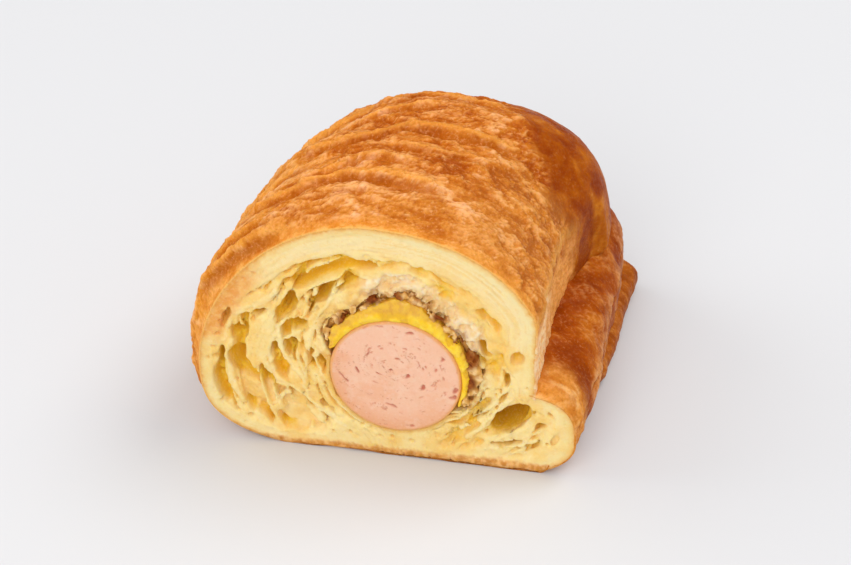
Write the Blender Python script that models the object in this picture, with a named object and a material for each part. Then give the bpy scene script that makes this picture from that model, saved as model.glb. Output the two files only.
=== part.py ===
"""Half of a baked sausage roll, cut across and resting on its flat underside.

The cut face looks along -Y and the rounded, folded end is at +Y. The dough is one
solid: a wrap that comes over the top and down the right side, and two folds of the
same sheet that stick out under its end. The sausage, a crescent of mustard and a
layer of roast onion run through it. Lengths are in millimetres until a mesh is made.
"""
import math

import bmesh
import bpy
import numpy as np

MM = 0.001
GAP = 0.3                  # clear space between two neighbouring pieces

# --- driving sizes ----------------------------------------------------------
WRAP_CENTRE = (-3.0, 16.0)     # x, z that the wrap's sections turn about
WRAP_LENGTH = 56.5
WRAP_END_ROUND = 14.0
FOLD_CENTRE = (18.0, 7.0)      # the middle fold, under the wrap's end
FOLD_LENGTH = 57.0
FOOT_CENTRE = (18.0, 3.0)      # the lowest fold, flat on the table
FOOT_LENGTH = 58.5
LEAD = 2.0                     # the lofts start this far ahead of the cut

SAUSAGE_CENTRE = (1.6, 18.0)
SAUSAGE_HALF_WIDTH = 11.6
SAUSAGE_HALF_HEIGHT = 12.2
SAUSAGE_LENGTH = 53.0
SAUSAGE_END_ROUND = 8.0
SAUSAGE_DRIFT = 2.4            # sideways bend of the sausage over its length
FILLING_LENGTH = 43.0          # mustard and onion stop short of the folded end

# outer radius of the mustard about the sausage's centre, (degrees, mm)
MUSTARD_OUTER = [(-24, 12.4), (-6, 12.6), (15, 13.2), (33, 13.7), (50, 14.1), (65, 15.0),
                 (78, 16.5), (88, 17.0), (103, 15.6), (122, 14.5), (142, 14.1), (156, 13.2)]
# thickness of the onion layer over the mustard, (degrees, mm)
ONION_THICK = [(-20, 1.2), (5, 1.8), (25, 1.3), (45, 0.8), (75, 1.0), (100, 1.1),
               (130, 1.4), (150, 0.9)]

# baked pockets in the crumb at the cut: name, x, z, half width, half height, depth, tilt
POCKETS = [
    ("pocket_foot", 21.7, 12.5, 2.8, 3.7, 7.0, -22),
    ("pocket_right_edge", 22.6, 25.0, 1.1, 1.6, 4.0, 0),
    ("pocket_right_upper", 17.9, 26.2, 1.2, 2.4, 5.0, -8),
    ("pocket_foot_slot", 21.2, 7.4, 3.0, 0.9, 4.0, 14),
    ("pocket_left_low", -26.8, 16.6, 1.7, 3.4, 6.0, 0),
    ("pocket_left_high", -26.1, 24.3, 1.2, 2.4, 5.0, 0),
    ("pocket_left_upper", -16.8, 28.5, 1.9, 2.2, 5.0, 30),
    ("pocket_left_inner", -16.0, 22.9, 1.4, 1.4, 4.0, 0),
    ("pocket_left_base", -15.4, 10.9, 1.8, 1.9, 5.0, 0),
    ("pocket_crescent_low", -12.6, 37.0, 4.6, 1.3, 5.0, -38),
    ("pocket_crescent_high", -7.4, 39.5, 4.6, 1.5, 5.0, -20),
]
# slots left open between the folded sheets at the baked end, as above
END_SLOTS = [
    ("slot_end_outer", 11.5, 20.5, 3.0, 12.5, 9.0, -16),
    ("slot_end_inner", -4.5, 16.5, 3.2, 12.0, 9.0, -16),
]

DOUGH_STEPS_FINE = 2.8         # degrees between points where the folds are
DOUGH_STEPS_WIDE = 5.6
FILLING_STEPS = 40


# --- shape functions --------------------------------------------------------
def smooth(low, high, value):
    """Ease from 0 at low to 1 at high."""
    t = np.clip((value - low) / (high - low), 0.0, 1.0)
    return t * t * (3.0 - 2.0 * t)


def keyed(value, keys):
    """Value eased between (place, value) keys, held at both ends."""
    places = [k[0] for k in keys]
    values = [k[1] for k in keys]
    value = np.asarray(value, float)
    i = np.clip(np.searchsorted(places, value) - 1, 0, len(places) - 2)
    low, high = np.take(places, i), np.take(places, i + 1)
    start, end = np.take(values, i), np.take(values, i + 1)
    return start + (end - start) * smooth(0.0, 1.0, (value - low) / (high - low))


def smooth_min(a, b, blend):
    """Smaller of two radii, rounded where they meet."""
    h = np.clip(0.5 + 0.5 * (b - a) / blend, 0.0, 1.0)
    return b * (1.0 - h) + a * h - blend * h * (1.0 - h)


def quadrants(angle, right, left, up, down, powers):
    """Radius of a section with its own superellipse in each quarter.

    powers holds the exponents for upper right, upper left, lower left, lower right.
    """
    c, s = np.cos(angle), np.sin(angle)
    half_x = np.where(c > 0, right, left)
    half_z = np.where(s > 0, up, down)
    n = np.where(s > 0, np.where(c > 0, powers[0], powers[1]), np.where(c > 0, powers[3], powers[2]))
    return (np.abs(c / half_x) ** n + np.abs(s / half_z) ** n) ** (-1.0 / n)


def end_round(y, length, radius, power=2.2):
    """Factor that closes a section over its last part."""
    t = np.clip((y - (length - radius)) / radius, 0.0, 1.0)
    return np.clip(1.0 - t ** power, 0.0, 1.0) ** (1.0 / power)


def wrap_radius(angle, y):
    """Outer sheet: round on top and left, with a straight end face down the right side."""
    up = keyed(y, [(0, 33.4), (8, 34.8), (20, 35.0), (36, 33.6), (46, 31.0), (58, 28.0)])
    left = keyed(y, [(0, 30.4), (4, 32.4), (12, 32.2), (24, 30.8), (36, 29.2), (58, 27.0)])
    right = keyed(y, [(0, 32.5), (30, 32.0), (44, 31.6), (50, 31.0), (58, 29.0)])
    upper_left = keyed(y, [(0, 1.84), (4, 2.2), (12, 2.08), (24, 2.0), (58, 2.0)])
    upper_right = keyed(y, [(0, 2.25), (30, 2.25), (46, 3.0), (58, 3.0)])
    r = quadrants(angle, right, left, up, 16.8, (upper_right, upper_left, 3.0, 2.6))
    wall = keyed(y, [(0, 29.0), (20, 28.5), (37, 29.3), (44, 38.5), (58, 38.0)])
    r = smooth_min(r, wall / np.maximum(np.cos(angle), 1e-3), 1.0)
    tuck = keyed(y, [(0, -1.0), (36, 1.5), (43, 6.5), (50, 8.5), (58, 8.5)])
    r = r - 4.5 * smooth(0.5, 0.9, np.cos(angle)) * smooth(1.2, -3.0, r * np.sin(angle) - tuck)
    return r * end_round(y, WRAP_LENGTH, WRAP_END_ROUND)


def wrap_drift(y):
    """Sideways shift of the wrap's sections: the roll was cut slightly askew."""
    return keyed(y, [(0, 0.0), (20, 0.8), (44, 5.0), (58, 8.0)])


def fold_radius(angle, y):
    """Middle fold, which shows as a dark band under the wrap's end."""
    up = keyed(y, [(0, 10.8), (20, 12.0), (36, 13.5), (50, 16.5), (58, 15.0)])
    right = keyed(y, [(0, 15.3), (18, 16.8), (40, 17.4), (58, 17.0)])
    return quadrants(angle, right, 19.0, up, 8.5, (3.2, 3.0, 3.0, 2.0)) * end_round(y, FOLD_LENGTH, 6.0, 2.5)


def foot_radius(angle, y):
    """Lowest fold, which widens towards the baked end."""
    up = keyed(y, [(0, 3.6), (25, 4.2), (58, 5.5)])
    right = keyed(y, [(0, 11.0), (18, 15.0), (36, 18.2), (58, 20.4)])
    return quadrants(angle, right, 31.0, up, 4.2, (2.6, 2.6, 3.0, 3.0)) * end_round(y, FOOT_LENGTH, 4.0, 2.5)


def sausage_drift(y):
    return SAUSAGE_DRIFT * smooth(8.0, 52.0, y)


def sausage_radius(angle, grow=0.0):
    return quadrants(angle, SAUSAGE_HALF_WIDTH + grow, SAUSAGE_HALF_WIDTH + grow,
                     SAUSAGE_HALF_HEIGHT + grow, SAUSAGE_HALF_HEIGHT + grow, (2.0,) * 4)


def mustard_outer(degrees):
    return keyed(degrees, MUSTARD_OUTER)


def onion_outer(degrees):
    return mustard_outer(degrees) + GAP + keyed(degrees, ONION_THICK)


def bore_radius(angle):
    """Hole in the dough: round the sausage, and wider where the filling lies."""
    degrees = (np.degrees(angle) + 114.0) % 360.0 - 114.0
    filled = smooth(-42.0, -26.0, degrees) * smooth(176.0, 158.0, degrees)
    bare = sausage_radius(angle, GAP)
    return bare + filled * (onion_outer(degrees) + GAP - bare)


# --- mesh building ----------------------------------------------------------
def material(name, colour, roughness):
    """Principled material for one piece."""
    made = bpy.data.materials.new(name)
    made.use_nodes = True
    shader = made.node_tree.nodes["Principled BSDF"]
    shader.inputs["Base Color"].default_value = (*colour, 1.0)
    shader.inputs["Roughness"].default_value = roughness
    shader.inputs["Metallic"].default_value = 0.0
    made.diffuse_color = (*colour, 1.0)
    return made


def new_collection(name):
    made = bpy.data.collections.new(name)
    bpy.context.scene.collection.children.link(made)
    return made


def loft(name, rings, collection):
    """Closed solid through rings of points, with a flat cap on the first and last ring."""
    bm = bmesh.new()
    rows = [[bm.verts.new((x * MM, y * MM, z * MM)) for x, y, z in ring] for ring in rings]
    count = len(rows[0])
    for near, far in zip(rows, rows[1:]):
        for i in range(count):
            j = (i + 1) % count
            bm.faces.new((near[i], near[j], far[j], far[i]))
    bm.faces.new(rows[0])
    bm.faces.new(rows[-1])
    bmesh.ops.triangulate(bm, faces=bm.faces[:])
    bmesh.ops.recalc_face_normals(bm, faces=bm.faces[:])
    mesh = bpy.data.meshes.new(name)
    bm.to_mesh(mesh)
    bm.free()
    made = bpy.data.objects.new(name, mesh)
    collection.objects.link(made)
    return made


def stations(length, rounding, step, start):
    """Places along the length, closer together over the rounded end."""
    straight = list(np.arange(start, length - rounding - 0.5 * step, step))
    count = max(4, int(round(rounding / 2.2)))
    bend = [length - rounding + rounding * math.sin(math.radians(a)) for a in np.linspace(0, 86, count)]
    return straight + bend


def dough_angles():
    """Directions round a dough section: close together on the side with the folds."""
    fine = np.arange(-42.0, 56.0, DOUGH_STEPS_FINE)
    wide = np.arange(56.0, 318.0 - 0.5 * DOUGH_STEPS_WIDE, DOUGH_STEPS_WIDE)
    return np.radians(np.concatenate([fine, wide]))


def section_rings(angles, places, centre, radius, drift):
    rings = []
    for y in places:
        r = radius(angles, y)
        x = centre[0] + float(drift(y)) + r * np.cos(angles)
        z = centre[1] + r * np.sin(angles)
        rings.append([(float(a), float(y), float(b)) for a, b in zip(x, z)])
    return rings


def no_drift(y):
    return 0.0


def hide_as_cutter(made):
    made.hide_render = True
    made.display_type = 'WIRE'


def boolean(target, cutter, operation):
    """Join or cut with the exact solver; the cutter stays hidden."""
    step = target.modifiers.new(cutter.name, 'BOOLEAN')
    step.operation = operation
    step.solver = 'EXACT'
    step.object = cutter
    hide_as_cutter(cutter)


def block(name, low, high, collection):
    """Box cutter between two corners."""
    size = [h - l for l, h in zip(low, high)]
    middle = [(h + l) / 2 for l, h in zip(low, high)]
    bm = bmesh.new()
    bmesh.ops.create_cube(bm, size=1.0)
    for vert in bm.verts:
        vert.co = [c * s * MM for c, s in zip(vert.co, size)]
    mesh = bpy.data.meshes.new(name)
    bm.to_mesh(mesh)
    bm.free()
    made = bpy.data.objects.new(name, mesh)
    made.location = [m * MM for m in middle]
    collection.objects.link(made)
    return made


def egg(name, x, y, z, half_x, half_y, half_z, tilt, collection):
    """Ellipsoid cutter, turned about Y by tilt degrees."""
    bm = bmesh.new()
    bmesh.ops.create_uvsphere(bm, u_segments=14, v_segments=8, radius=1.0)
    for vert in bm.verts:
        vert.co = (vert.co.x * half_x * MM, vert.co.y * half_y * MM, vert.co.z * half_z * MM)
    bmesh.ops.triangulate(bm, faces=bm.faces[:])
    mesh = bpy.data.meshes.new(name)
    bm.to_mesh(mesh)
    bm.free()
    made = bpy.data.objects.new(name, mesh)
    made.location = (x * MM, y * MM, z * MM)
    made.rotation_euler = (0.0, math.radians(tilt), 0.0)
    collection.objects.link(made)
    return made


# --- pieces -----------------------------------------------------------------
def make_pastry(parts, cutters):
    """Dough: three folds of one sheet joined, then trimmed and hollowed for the filling."""
    angles = dough_angles()
    places = sorted(stations(WRAP_LENGTH, WRAP_END_ROUND, 4.0, -LEAD) + [36.0, 40.0])
    pastry = loft("pastry", section_rings(angles, places, WRAP_CENTRE, wrap_radius, wrap_drift), parts)
    around = np.radians(np.arange(-180.0, 180.0, 9.0))
    middle = loft("middle_fold", section_rings(around, stations(FOLD_LENGTH, 6.0, 6.0, -LEAD - 0.3),
                                               FOLD_CENTRE, fold_radius, no_drift), cutters)
    foot = loft("foot_fold", section_rings(around, stations(FOOT_LENGTH, 4.0, 6.0, -LEAD - 0.6),
                                           FOOT_CENTRE, foot_radius, no_drift), cutters)
    bore_angles = np.radians(np.linspace(-180.0, 180.0, 66, endpoint=False))
    bore_length, bore_round = SAUSAGE_LENGTH + 0.6, SAUSAGE_END_ROUND + 0.4

    def bore_section(angle, y):
        bare = sausage_radius(angle, GAP)
        widened = bare + (bore_radius(angle) - bare) * (1.0 - smooth(FILLING_LENGTH + 0.6, FILLING_LENGTH + 5.0, y))
        return widened * end_round(y, bore_length, bore_round)

    places = sorted(stations(bore_length, bore_round, 6.0, -LEAD - 2.0) + [FILLING_LENGTH + 0.6])
    bore = loft("filling_bore", section_rings(bore_angles, places, SAUSAGE_CENTRE, bore_section,
                                              sausage_drift), cutters)
    for piece in (middle, foot):
        boolean(pastry, piece, 'UNION')
    boolean(pastry, block("table_trim", (-60, -20, -20), (60, 80, 0), cutters), 'DIFFERENCE')
    boolean(pastry, block("cut_trim", (-61, -21, -21), (61, 0, 80), cutters), 'DIFFERENCE')
    boolean(pastry, bore, 'DIFFERENCE')
    for name, x, z, half_x, half_z, depth, tilt in POCKETS:
        boolean(pastry, egg(name, x, -0.4, z, half_x, depth, half_z, tilt, cutters), 'DIFFERENCE')
    for name, x, z, half_x, half_z, depth, tilt in END_SLOTS:
        boolean(pastry, egg(name, x, FOOT_LENGTH, z, half_x, depth, half_z, tilt, cutters), 'DIFFERENCE')
    pastry.data.materials.append(material("baked_puff_pastry", (0.56, 0.26, 0.07), 0.5))
    return pastry


def make_sausage(parts):
    """Cooked sausage, cut flush with the dough and rounded at its hidden end."""
    angles = np.radians(np.linspace(-180.0, 180.0, 56, endpoint=False))

    def section(angle, y):
        return sausage_radius(angle) * end_round(y, SAUSAGE_LENGTH, SAUSAGE_END_ROUND)

    places = stations(SAUSAGE_LENGTH, SAUSAGE_END_ROUND, 6.0, 0.0)
    made = loft("sausage", section_rings(angles, places, SAUSAGE_CENTRE, section, sausage_drift), parts)
    made.data.materials.append(material("cooked_sausage", (0.72, 0.36, 0.26), 0.42))
    return made


def make_layer(name, first, last, inner, outer, parts):
    """Crescent layer over the sausage between two angles, run along the roll."""
    degrees = np.linspace(first, last, FILLING_STEPS)
    rings = []
    for y in np.arange(0.0, FILLING_LENGTH + 0.1, FILLING_LENGTH / 6.0):
        ring = []
        for side, order in ((outer, degrees), (inner, degrees[::-1])):
            radius = side(order)
            x = SAUSAGE_CENTRE[0] + float(sausage_drift(y)) + radius * np.cos(np.radians(order))
            z = SAUSAGE_CENTRE[1] + radius * np.sin(np.radians(order))
            ring += [(float(a), float(y), float(b)) for a, b in zip(x, z)]
        rings.append(ring)
    return loft(name, rings, parts)


def make_mustard(parts):
    made = make_layer("mustard", -24, 156, lambda d: sausage_radius(np.radians(d), GAP), mustard_outer, parts)
    made.data.materials.append(material("mustard", (0.80, 0.55, 0.02), 0.35))
    return made


def make_onion(parts):
    made = make_layer("roast_onion", -20, 150, lambda d: mustard_outer(d) + GAP, onion_outer, parts)
    made.data.materials.append(material("roast_onion", (0.30, 0.13, 0.04), 0.6))
    return made


def centre_on_base(root, pieces):
    """Move the whole part so that its box is centred over the origin and stands on z = 0."""
    bpy.context.view_layer.update()
    graph = bpy.context.evaluated_depsgraph_get()
    low, high = np.full(3, np.inf), np.full(3, -np.inf)
    for piece in pieces:
        evaluated = piece.evaluated_get(graph)
        mesh = evaluated.to_mesh()
        for vert in mesh.vertices:
            place = evaluated.matrix_world @ vert.co
            low, high = np.minimum(low, place), np.maximum(high, place)
        evaluated.to_mesh_clear()
    root.location = (-(low[0] + high[0]) / 2, -(low[1] + high[1]) / 2, -low[2])


def main():
    for old in list(bpy.data.objects):
        bpy.data.objects.remove(old, do_unlink=True)
    parts = new_collection("sausage_roll_half")
    cutters = new_collection("cutters")
    root = bpy.data.objects.new("roll_origin", None)
    parts.objects.link(root)
    pieces = [make_pastry(parts, cutters), make_sausage(parts), make_mustard(parts), make_onion(parts)]
    for piece in pieces + list(cutters.objects):
        piece.parent = root
    for piece in pieces:
        piece.data.shade_smooth()
        piece.data.set_sharp_from_angle(angle=math.radians(40))
    centre_on_base(root, pieces)


main()
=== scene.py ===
"""Dressed cut half of a baked sausage roll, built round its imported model.

Lengths are in millimetres in the cut's own frame until a mesh is made: X runs along the
cut, Y goes into the roll and Z is up from the table.
"""
from __future__ import annotations

import logging
import math
from dataclasses import dataclass, field
from enum import Enum
from typing import Callable, Sequence

import bpy
import numpy as np
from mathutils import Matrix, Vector


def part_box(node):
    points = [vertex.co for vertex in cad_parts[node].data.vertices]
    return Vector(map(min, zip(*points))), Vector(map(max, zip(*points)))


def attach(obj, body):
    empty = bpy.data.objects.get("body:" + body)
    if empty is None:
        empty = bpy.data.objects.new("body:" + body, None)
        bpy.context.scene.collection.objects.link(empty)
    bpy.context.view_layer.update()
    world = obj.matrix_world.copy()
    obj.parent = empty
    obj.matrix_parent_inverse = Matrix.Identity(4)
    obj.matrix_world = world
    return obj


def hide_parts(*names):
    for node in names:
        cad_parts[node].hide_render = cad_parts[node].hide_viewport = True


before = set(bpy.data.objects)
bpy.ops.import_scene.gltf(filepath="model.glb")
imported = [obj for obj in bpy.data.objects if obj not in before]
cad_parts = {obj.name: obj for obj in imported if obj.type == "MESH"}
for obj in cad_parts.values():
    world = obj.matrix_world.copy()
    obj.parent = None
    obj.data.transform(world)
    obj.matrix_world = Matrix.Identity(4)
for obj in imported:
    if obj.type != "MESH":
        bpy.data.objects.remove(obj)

logging.basicConfig(level=logging.INFO, format="%(name)s: %(message)s")
LOG = logging.getLogger("sausage_roll")

MM = 0.001
Keys = Sequence[tuple[float, float]]
Array = np.ndarray

# --- sizes that the solids have too -------------------------------------------------
WRAP_CENTRE, WRAP_LENGTH, WRAP_END_ROUND = (-3.0, 16.0), 56.5, 14.0
FOLD_CENTRE, FOLD_LENGTH = (18.0, 7.0), 57.0
FOOT_CENTRE, FOOT_LENGTH = (18.0, 3.0), 58.5
SAUSAGE_CENTRE = (1.6, 18.0)
SAUSAGE_HALF_WIDTH, SAUSAGE_HALF_HEIGHT = 11.6, 12.2
SAUSAGE_LENGTH, SAUSAGE_END_ROUND, SAUSAGE_DRIFT = 53.0, 8.0, 2.4
FILLING_LENGTH = 43.0
GAP = 0.3
MUSTARD_OUTER: Keys = ((-24, 12.4), (-6, 12.6), (15, 13.2), (33, 13.7), (50, 14.1), (65, 15.0),
                       (78, 16.5), (88, 17.0), (103, 15.6), (122, 14.5), (142, 14.1), (156, 13.2))
ONION_THICK: Keys = ((-20, 1.2), (5, 1.8), (25, 1.3), (45, 0.8), (75, 1.0), (100, 1.1),
                     (130, 1.4), (150, 0.9))


# --- small maths ----------------------------------------------------------------------
def smooth(low: float, high: float, value: Array) -> Array:
    """Ease from 0 at low to 1 at high."""
    t = np.clip((np.asarray(value) - low) / (high - low), 0.0, 1.0)
    return t * t * (3.0 - 2.0 * t)


def keyed(value: Array, keys: Keys) -> Array:
    """Value eased between (place, value) keys, held at both ends."""
    places = [k[0] for k in keys]
    values = [k[1] for k in keys]
    value = np.asarray(value, float)
    i = np.clip(np.searchsorted(places, value) - 1, 0, len(places) - 2)
    low, high = np.take(places, i), np.take(places, i + 1)
    start, end = np.take(values, i), np.take(values, i + 1)
    return start + (end - start) * smooth(0.0, 1.0, (value - low) / (high - low))


def smooth_min(a: Array, b: Array, blend: float) -> Array:
    """Smaller of two values, rounded where they meet."""
    h = np.clip(0.5 + 0.5 * (b - a) / blend, 0.0, 1.0)
    return b * (1.0 - h) + a * h - blend * h * (1.0 - h)


def mix(a: Array, b: Array, t: Array) -> Array:
    """Blend two values or colours; t gains a colour axis when they have one."""
    a, b, t = np.asarray(a, float), np.asarray(b, float), np.asarray(t, float)
    if b.ndim and b.shape[-1] == 3 and (t.ndim == 0 or t.shape[-1] != 3):
        t = t[..., None]
    return a + (b - a) * t


def linear(code: str) -> Array:
    """sRGB hex colour as linear light."""
    code = code.lstrip("#")
    c = np.array([int(code[i:i + 2], 16) for i in (0, 2, 4)]) / 255.0
    return np.where(c <= 0.04045, c / 12.92, ((c + 0.055) / 1.055) ** 2.4)


def rgba(code: str) -> tuple[float, float, float, float]:
    """sRGB hex colour for a shader socket."""
    r, g, b = linear(code)
    return float(r), float(g), float(b), 1.0


def spread(value: Array) -> Array:
    """Evens a noise out to 0 to 1, so that each tone of a ramp covers its share of the surface."""
    value = np.asarray(value, float)
    return 0.5 * (1.0 + np.tanh(0.8 * (value - value.mean()) / max(float(value.std()), 1e-6)))


def tones(share: Array, *codes: str) -> Array:
    """Linear colour along evenly spaced sRGB hex colours, from share 0 to 1."""
    table = np.array([linear(code) for code in codes])
    places = np.linspace(0.0, 1.0, len(codes))
    return np.stack([np.interp(share, places, table[:, i]) for i in range(3)], -1)


def around(x: Array, z: Array, centre: tuple[float, float]) -> tuple[Array, Array]:
    """Distance and angle in degrees, in -114 to 246, about a centre."""
    dx, dz = x - centre[0], z - centre[1]
    return np.hypot(dx, dz), (np.degrees(np.arctan2(dz, dx)) + 114.0) % 360.0 - 114.0


# --- noise ----------------------------------------------------------------------------
@dataclass(frozen=True)
class Noise:
    """Seeded lattice noise over numpy coordinates."""

    seed: int

    def _hash(self, ix: Array, iy: Array, iz: Array, salt: int = 0) -> Array:
        """Number in 0 to 1 for each lattice point."""
        with np.errstate(over="ignore"):
            h = (ix.astype(np.uint32) * np.uint32(374761393) + iy.astype(np.uint32) * np.uint32(668265263)
                 + iz.astype(np.uint32) * np.uint32(2246822519) + np.uint32((self.seed * 7919 + salt * 104729) & 0xFFFFFFFF))
            h = (h ^ (h >> np.uint32(13))) * np.uint32(1274126177)
            h = (h ^ (h >> np.uint32(15))) * np.uint32(2654435761)
            h = h ^ (h >> np.uint32(16))
        return (h.astype(np.float32)) / np.float32(4294967296.0)

    def value(self, x: Array, y: Array, z: Array) -> Array:
        """Smooth noise in 0 to 1 with features one unit across."""
        x, y, z = np.broadcast_arrays(*(np.asarray(v, np.float32) for v in (x, y, z)))
        cells = [np.floor(v) for v in (x, y, z)]
        ix, iy, iz = (c.astype(np.int64) for c in cells)
        fx, fy, fz = ((v - c) for v, c in zip((x, y, z), cells))
        ux, uy, uz = (f * f * f * (f * (f * 6 - 15) + 10) for f in (fx, fy, fz))
        total = np.zeros(x.shape, np.float32)
        for dx in (0, 1):
            wx = ux if dx else 1 - ux
            for dy in (0, 1):
                wy = wx * (uy if dy else 1 - uy)
                for dz in (0, 1):
                    total += wy * (uz if dz else 1 - uz) * self._hash(ix + dx, iy + dy, iz + dz)
        return total

    def fbm(self, x: Array, y: Array, z: Array, octaves: int = 3, gain: float = 0.5) -> Array:
        """Layered noise in about 0 to 1."""
        total, weight, size = 0.0, 0.0, 1.0
        x, y, z = (np.asarray(v, np.float32) for v in (x, y, z))
        for i in range(octaves):
            total = total + size * self.value(x * 2 ** i + 17.3 * i, y * 2 ** i - 9.1 * i, z * 2 ** i + 5.7 * i)
            weight += size
            size *= gain
        return total / weight

    def cells(self, x: Array, y: Array, z: Array) -> tuple[Array, Array, Array]:
        """Distances to the nearest two seeds of a cell pattern, and a number for the nearest cell."""
        x, y, z = np.broadcast_arrays(*(np.asarray(v, np.float32) for v in (x, y, z)))
        ix, iy, iz = (np.floor(v).astype(np.int64) for v in (x, y, z))
        first = np.full(x.shape, 9.0, np.float32)
        second = np.full(x.shape, 9.0, np.float32)
        owner = np.zeros(x.shape, np.float32)
        for dx in (-1, 0, 1):
            for dy in (-1, 0, 1):
                for dz in (-1, 0, 1):
                    cx, cy, cz = ix + dx, iy + dy, iz + dz
                    px = cx + self._hash(cx, cy, cz, 1) - x
                    py = cy + self._hash(cx, cy, cz, 2) - y
                    pz = cz + self._hash(cx, cy, cz, 3) - z
                    d = np.sqrt(px * px + py * py + pz * pz).astype(np.float32)
                    nearer = d < first
                    second = np.where(nearer, first, np.minimum(second, d))
                    owner = np.where(nearer, self._hash(cx, cy, cz, 4), owner)
                    first = np.where(nearer, d, first)
        return first, second, owner


# --- the roll's sections ---------------------------------------------------------------
def quadrants(angle: Array, right: Array, left: Array, up: Array, down: Array, powers: Sequence) -> Array:
    """Radius of a section with its own superellipse in each quarter.

    Args:
        angle: direction in radians.
        right, left, up, down: half sizes.
        powers: exponents for upper right, upper left, lower left and lower right.

    Returns:
        Radius in each direction.
    """
    c, s = np.cos(angle), np.sin(angle)
    half_x, half_z = np.where(c > 0, right, left), np.where(s > 0, up, down)
    n = np.where(s > 0, np.where(c > 0, powers[0], powers[1]), np.where(c > 0, powers[3], powers[2]))
    return (np.abs(c / half_x) ** n + np.abs(s / half_z) ** n) ** (-1.0 / n)


def end_round(y: Array, length: float, radius: float, power: float = 2.2) -> Array:
    """Factor that closes a section over its last part."""
    t = np.clip((np.asarray(y) - (length - radius)) / radius, 0.0, 1.0)
    return np.clip(1.0 - t ** power, 0.0, 1.0) ** (1.0 / power)


def wrap_wall(y: Array) -> Array:
    """Distance from the wrap's centre to its straight end face."""
    return keyed(y, ((0, 29.0), (20, 28.5), (37, 29.3), (44, 38.5), (58, 38.0)))


def wrap_open(angle: Array, y: Array) -> Array:
    """Wrap section before its end face is cut."""
    up = keyed(y, ((0, 33.4), (8, 34.8), (20, 35.0), (36, 33.6), (46, 31.0), (58, 28.0)))
    left = keyed(y, ((0, 30.4), (4, 32.4), (12, 32.2), (24, 30.8), (36, 29.2), (58, 27.0)))
    right = keyed(y, ((0, 32.5), (30, 32.0), (44, 31.6), (50, 31.0), (58, 29.0)))
    upper_left = keyed(y, ((0, 1.84), (4, 2.2), (12, 2.08), (24, 2.0), (58, 2.0)))
    upper_right = keyed(y, ((0, 2.25), (30, 2.25), (46, 3.0), (58, 3.0)))
    return quadrants(angle, right, left, up, 16.8, (upper_right, upper_left, 3.0, 2.6))


def wrap_radius(angle: Array, y: Array) -> Array:
    """Outer sheet: round on top and left, with a straight end face down the right side."""
    r = smooth_min(wrap_open(angle, y), wrap_wall(y) / np.maximum(np.cos(angle), 1e-3), 1.0)
    tuck = keyed(y, ((0, -1.0), (36, 1.5), (43, 6.5), (50, 8.5), (58, 8.5)))
    r = r - 4.5 * smooth(0.5, 0.9, np.cos(angle)) * smooth(1.2, -3.0, r * np.sin(angle) - tuck)
    return r * end_round(y, WRAP_LENGTH, WRAP_END_ROUND)


def wrap_drift(y: Array) -> Array:
    """Sideways shift of the wrap's sections: the roll was cut slightly askew."""
    return keyed(y, ((0, 0.0), (20, 0.8), (44, 5.0), (58, 8.0)))


def fold_radius(angle: Array, y: Array) -> Array:
    """Middle fold, which shows as a dark band under the wrap's end."""
    up = keyed(y, ((0, 10.8), (20, 12.0), (36, 13.5), (50, 16.5), (58, 15.0)))
    right = keyed(y, ((0, 15.3), (18, 16.8), (40, 17.4), (58, 17.0)))
    return quadrants(angle, right, 19.0, up, 8.5, (3.2, 3.0, 3.0, 2.0)) * end_round(y, FOLD_LENGTH, 6.0, 2.5)


def foot_radius(angle: Array, y: Array) -> Array:
    """Lowest fold, which widens towards the baked end."""
    up = keyed(y, ((0, 3.6), (25, 4.2), (58, 5.5)))
    right = keyed(y, ((0, 11.0), (8, 13.8), (18, 16.2), (36, 18.6), (58, 20.4)))
    return quadrants(angle, right, 31.0, up, 4.2, (2.6, 2.6, 3.0, 3.0)) * end_round(y, FOOT_LENGTH, 4.0, 2.5)


def sausage_drift(y: Array) -> Array:
    return SAUSAGE_DRIFT * smooth(8.0, 52.0, y)


def sausage_radius(angle: Array, grow: float = 0.0) -> Array:
    w, h = SAUSAGE_HALF_WIDTH + grow, SAUSAGE_HALF_HEIGHT + grow
    return ((np.cos(angle) / w) ** 2 + (np.sin(angle) / h) ** 2) ** -0.5


def filling_outer(degrees: Array) -> Array:
    """Radius of the filling's outside: onion over mustard, or the bare sausage."""
    bare = sausage_radius(np.radians(degrees))
    layered = keyed(degrees, MUSTARD_OUTER) + GAP + keyed(degrees, ONION_THICK)
    filled = smooth(-42.0, -26.0, degrees) * smooth(176.0, 158.0, degrees)
    return bare + filled * (layered - bare)


class Fold(Enum):
    """Which fold of the dough sheet a surface belongs to."""

    WRAP = "wrap"
    MIDDLE = "middle"
    FOOT = "foot"

    @property
    def centre(self) -> tuple[float, float]:
        return {Fold.WRAP: WRAP_CENTRE, Fold.MIDDLE: FOLD_CENTRE, Fold.FOOT: FOOT_CENTRE}[self]

    @property
    def length(self) -> float:
        return {Fold.WRAP: WRAP_LENGTH, Fold.MIDDLE: FOLD_LENGTH, Fold.FOOT: FOOT_LENGTH}[self]

    @property
    def rounding(self) -> float:
        return {Fold.WRAP: WRAP_END_ROUND, Fold.MIDDLE: 6.0, Fold.FOOT: 4.0}[self]

    def radius(self, angle: Array, y: Array) -> Array:
        return {Fold.WRAP: wrap_radius, Fold.MIDDLE: fold_radius, Fold.FOOT: foot_radius}[self](angle, y)

    def drift(self, y: Array) -> Array:
        return wrap_drift(y) if self is Fold.WRAP else np.zeros_like(np.asarray(y, float))

    def inside(self, x: Array, y: Array, z: Array) -> Array:
        """Distance inside this fold along its own radius, in mm, negative outside."""
        dx, dz = x - self.centre[0] - self.drift(y), z - self.centre[1]
        return self.radius(np.arctan2(dz, dx), y) - np.hypot(dx, dz)


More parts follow.
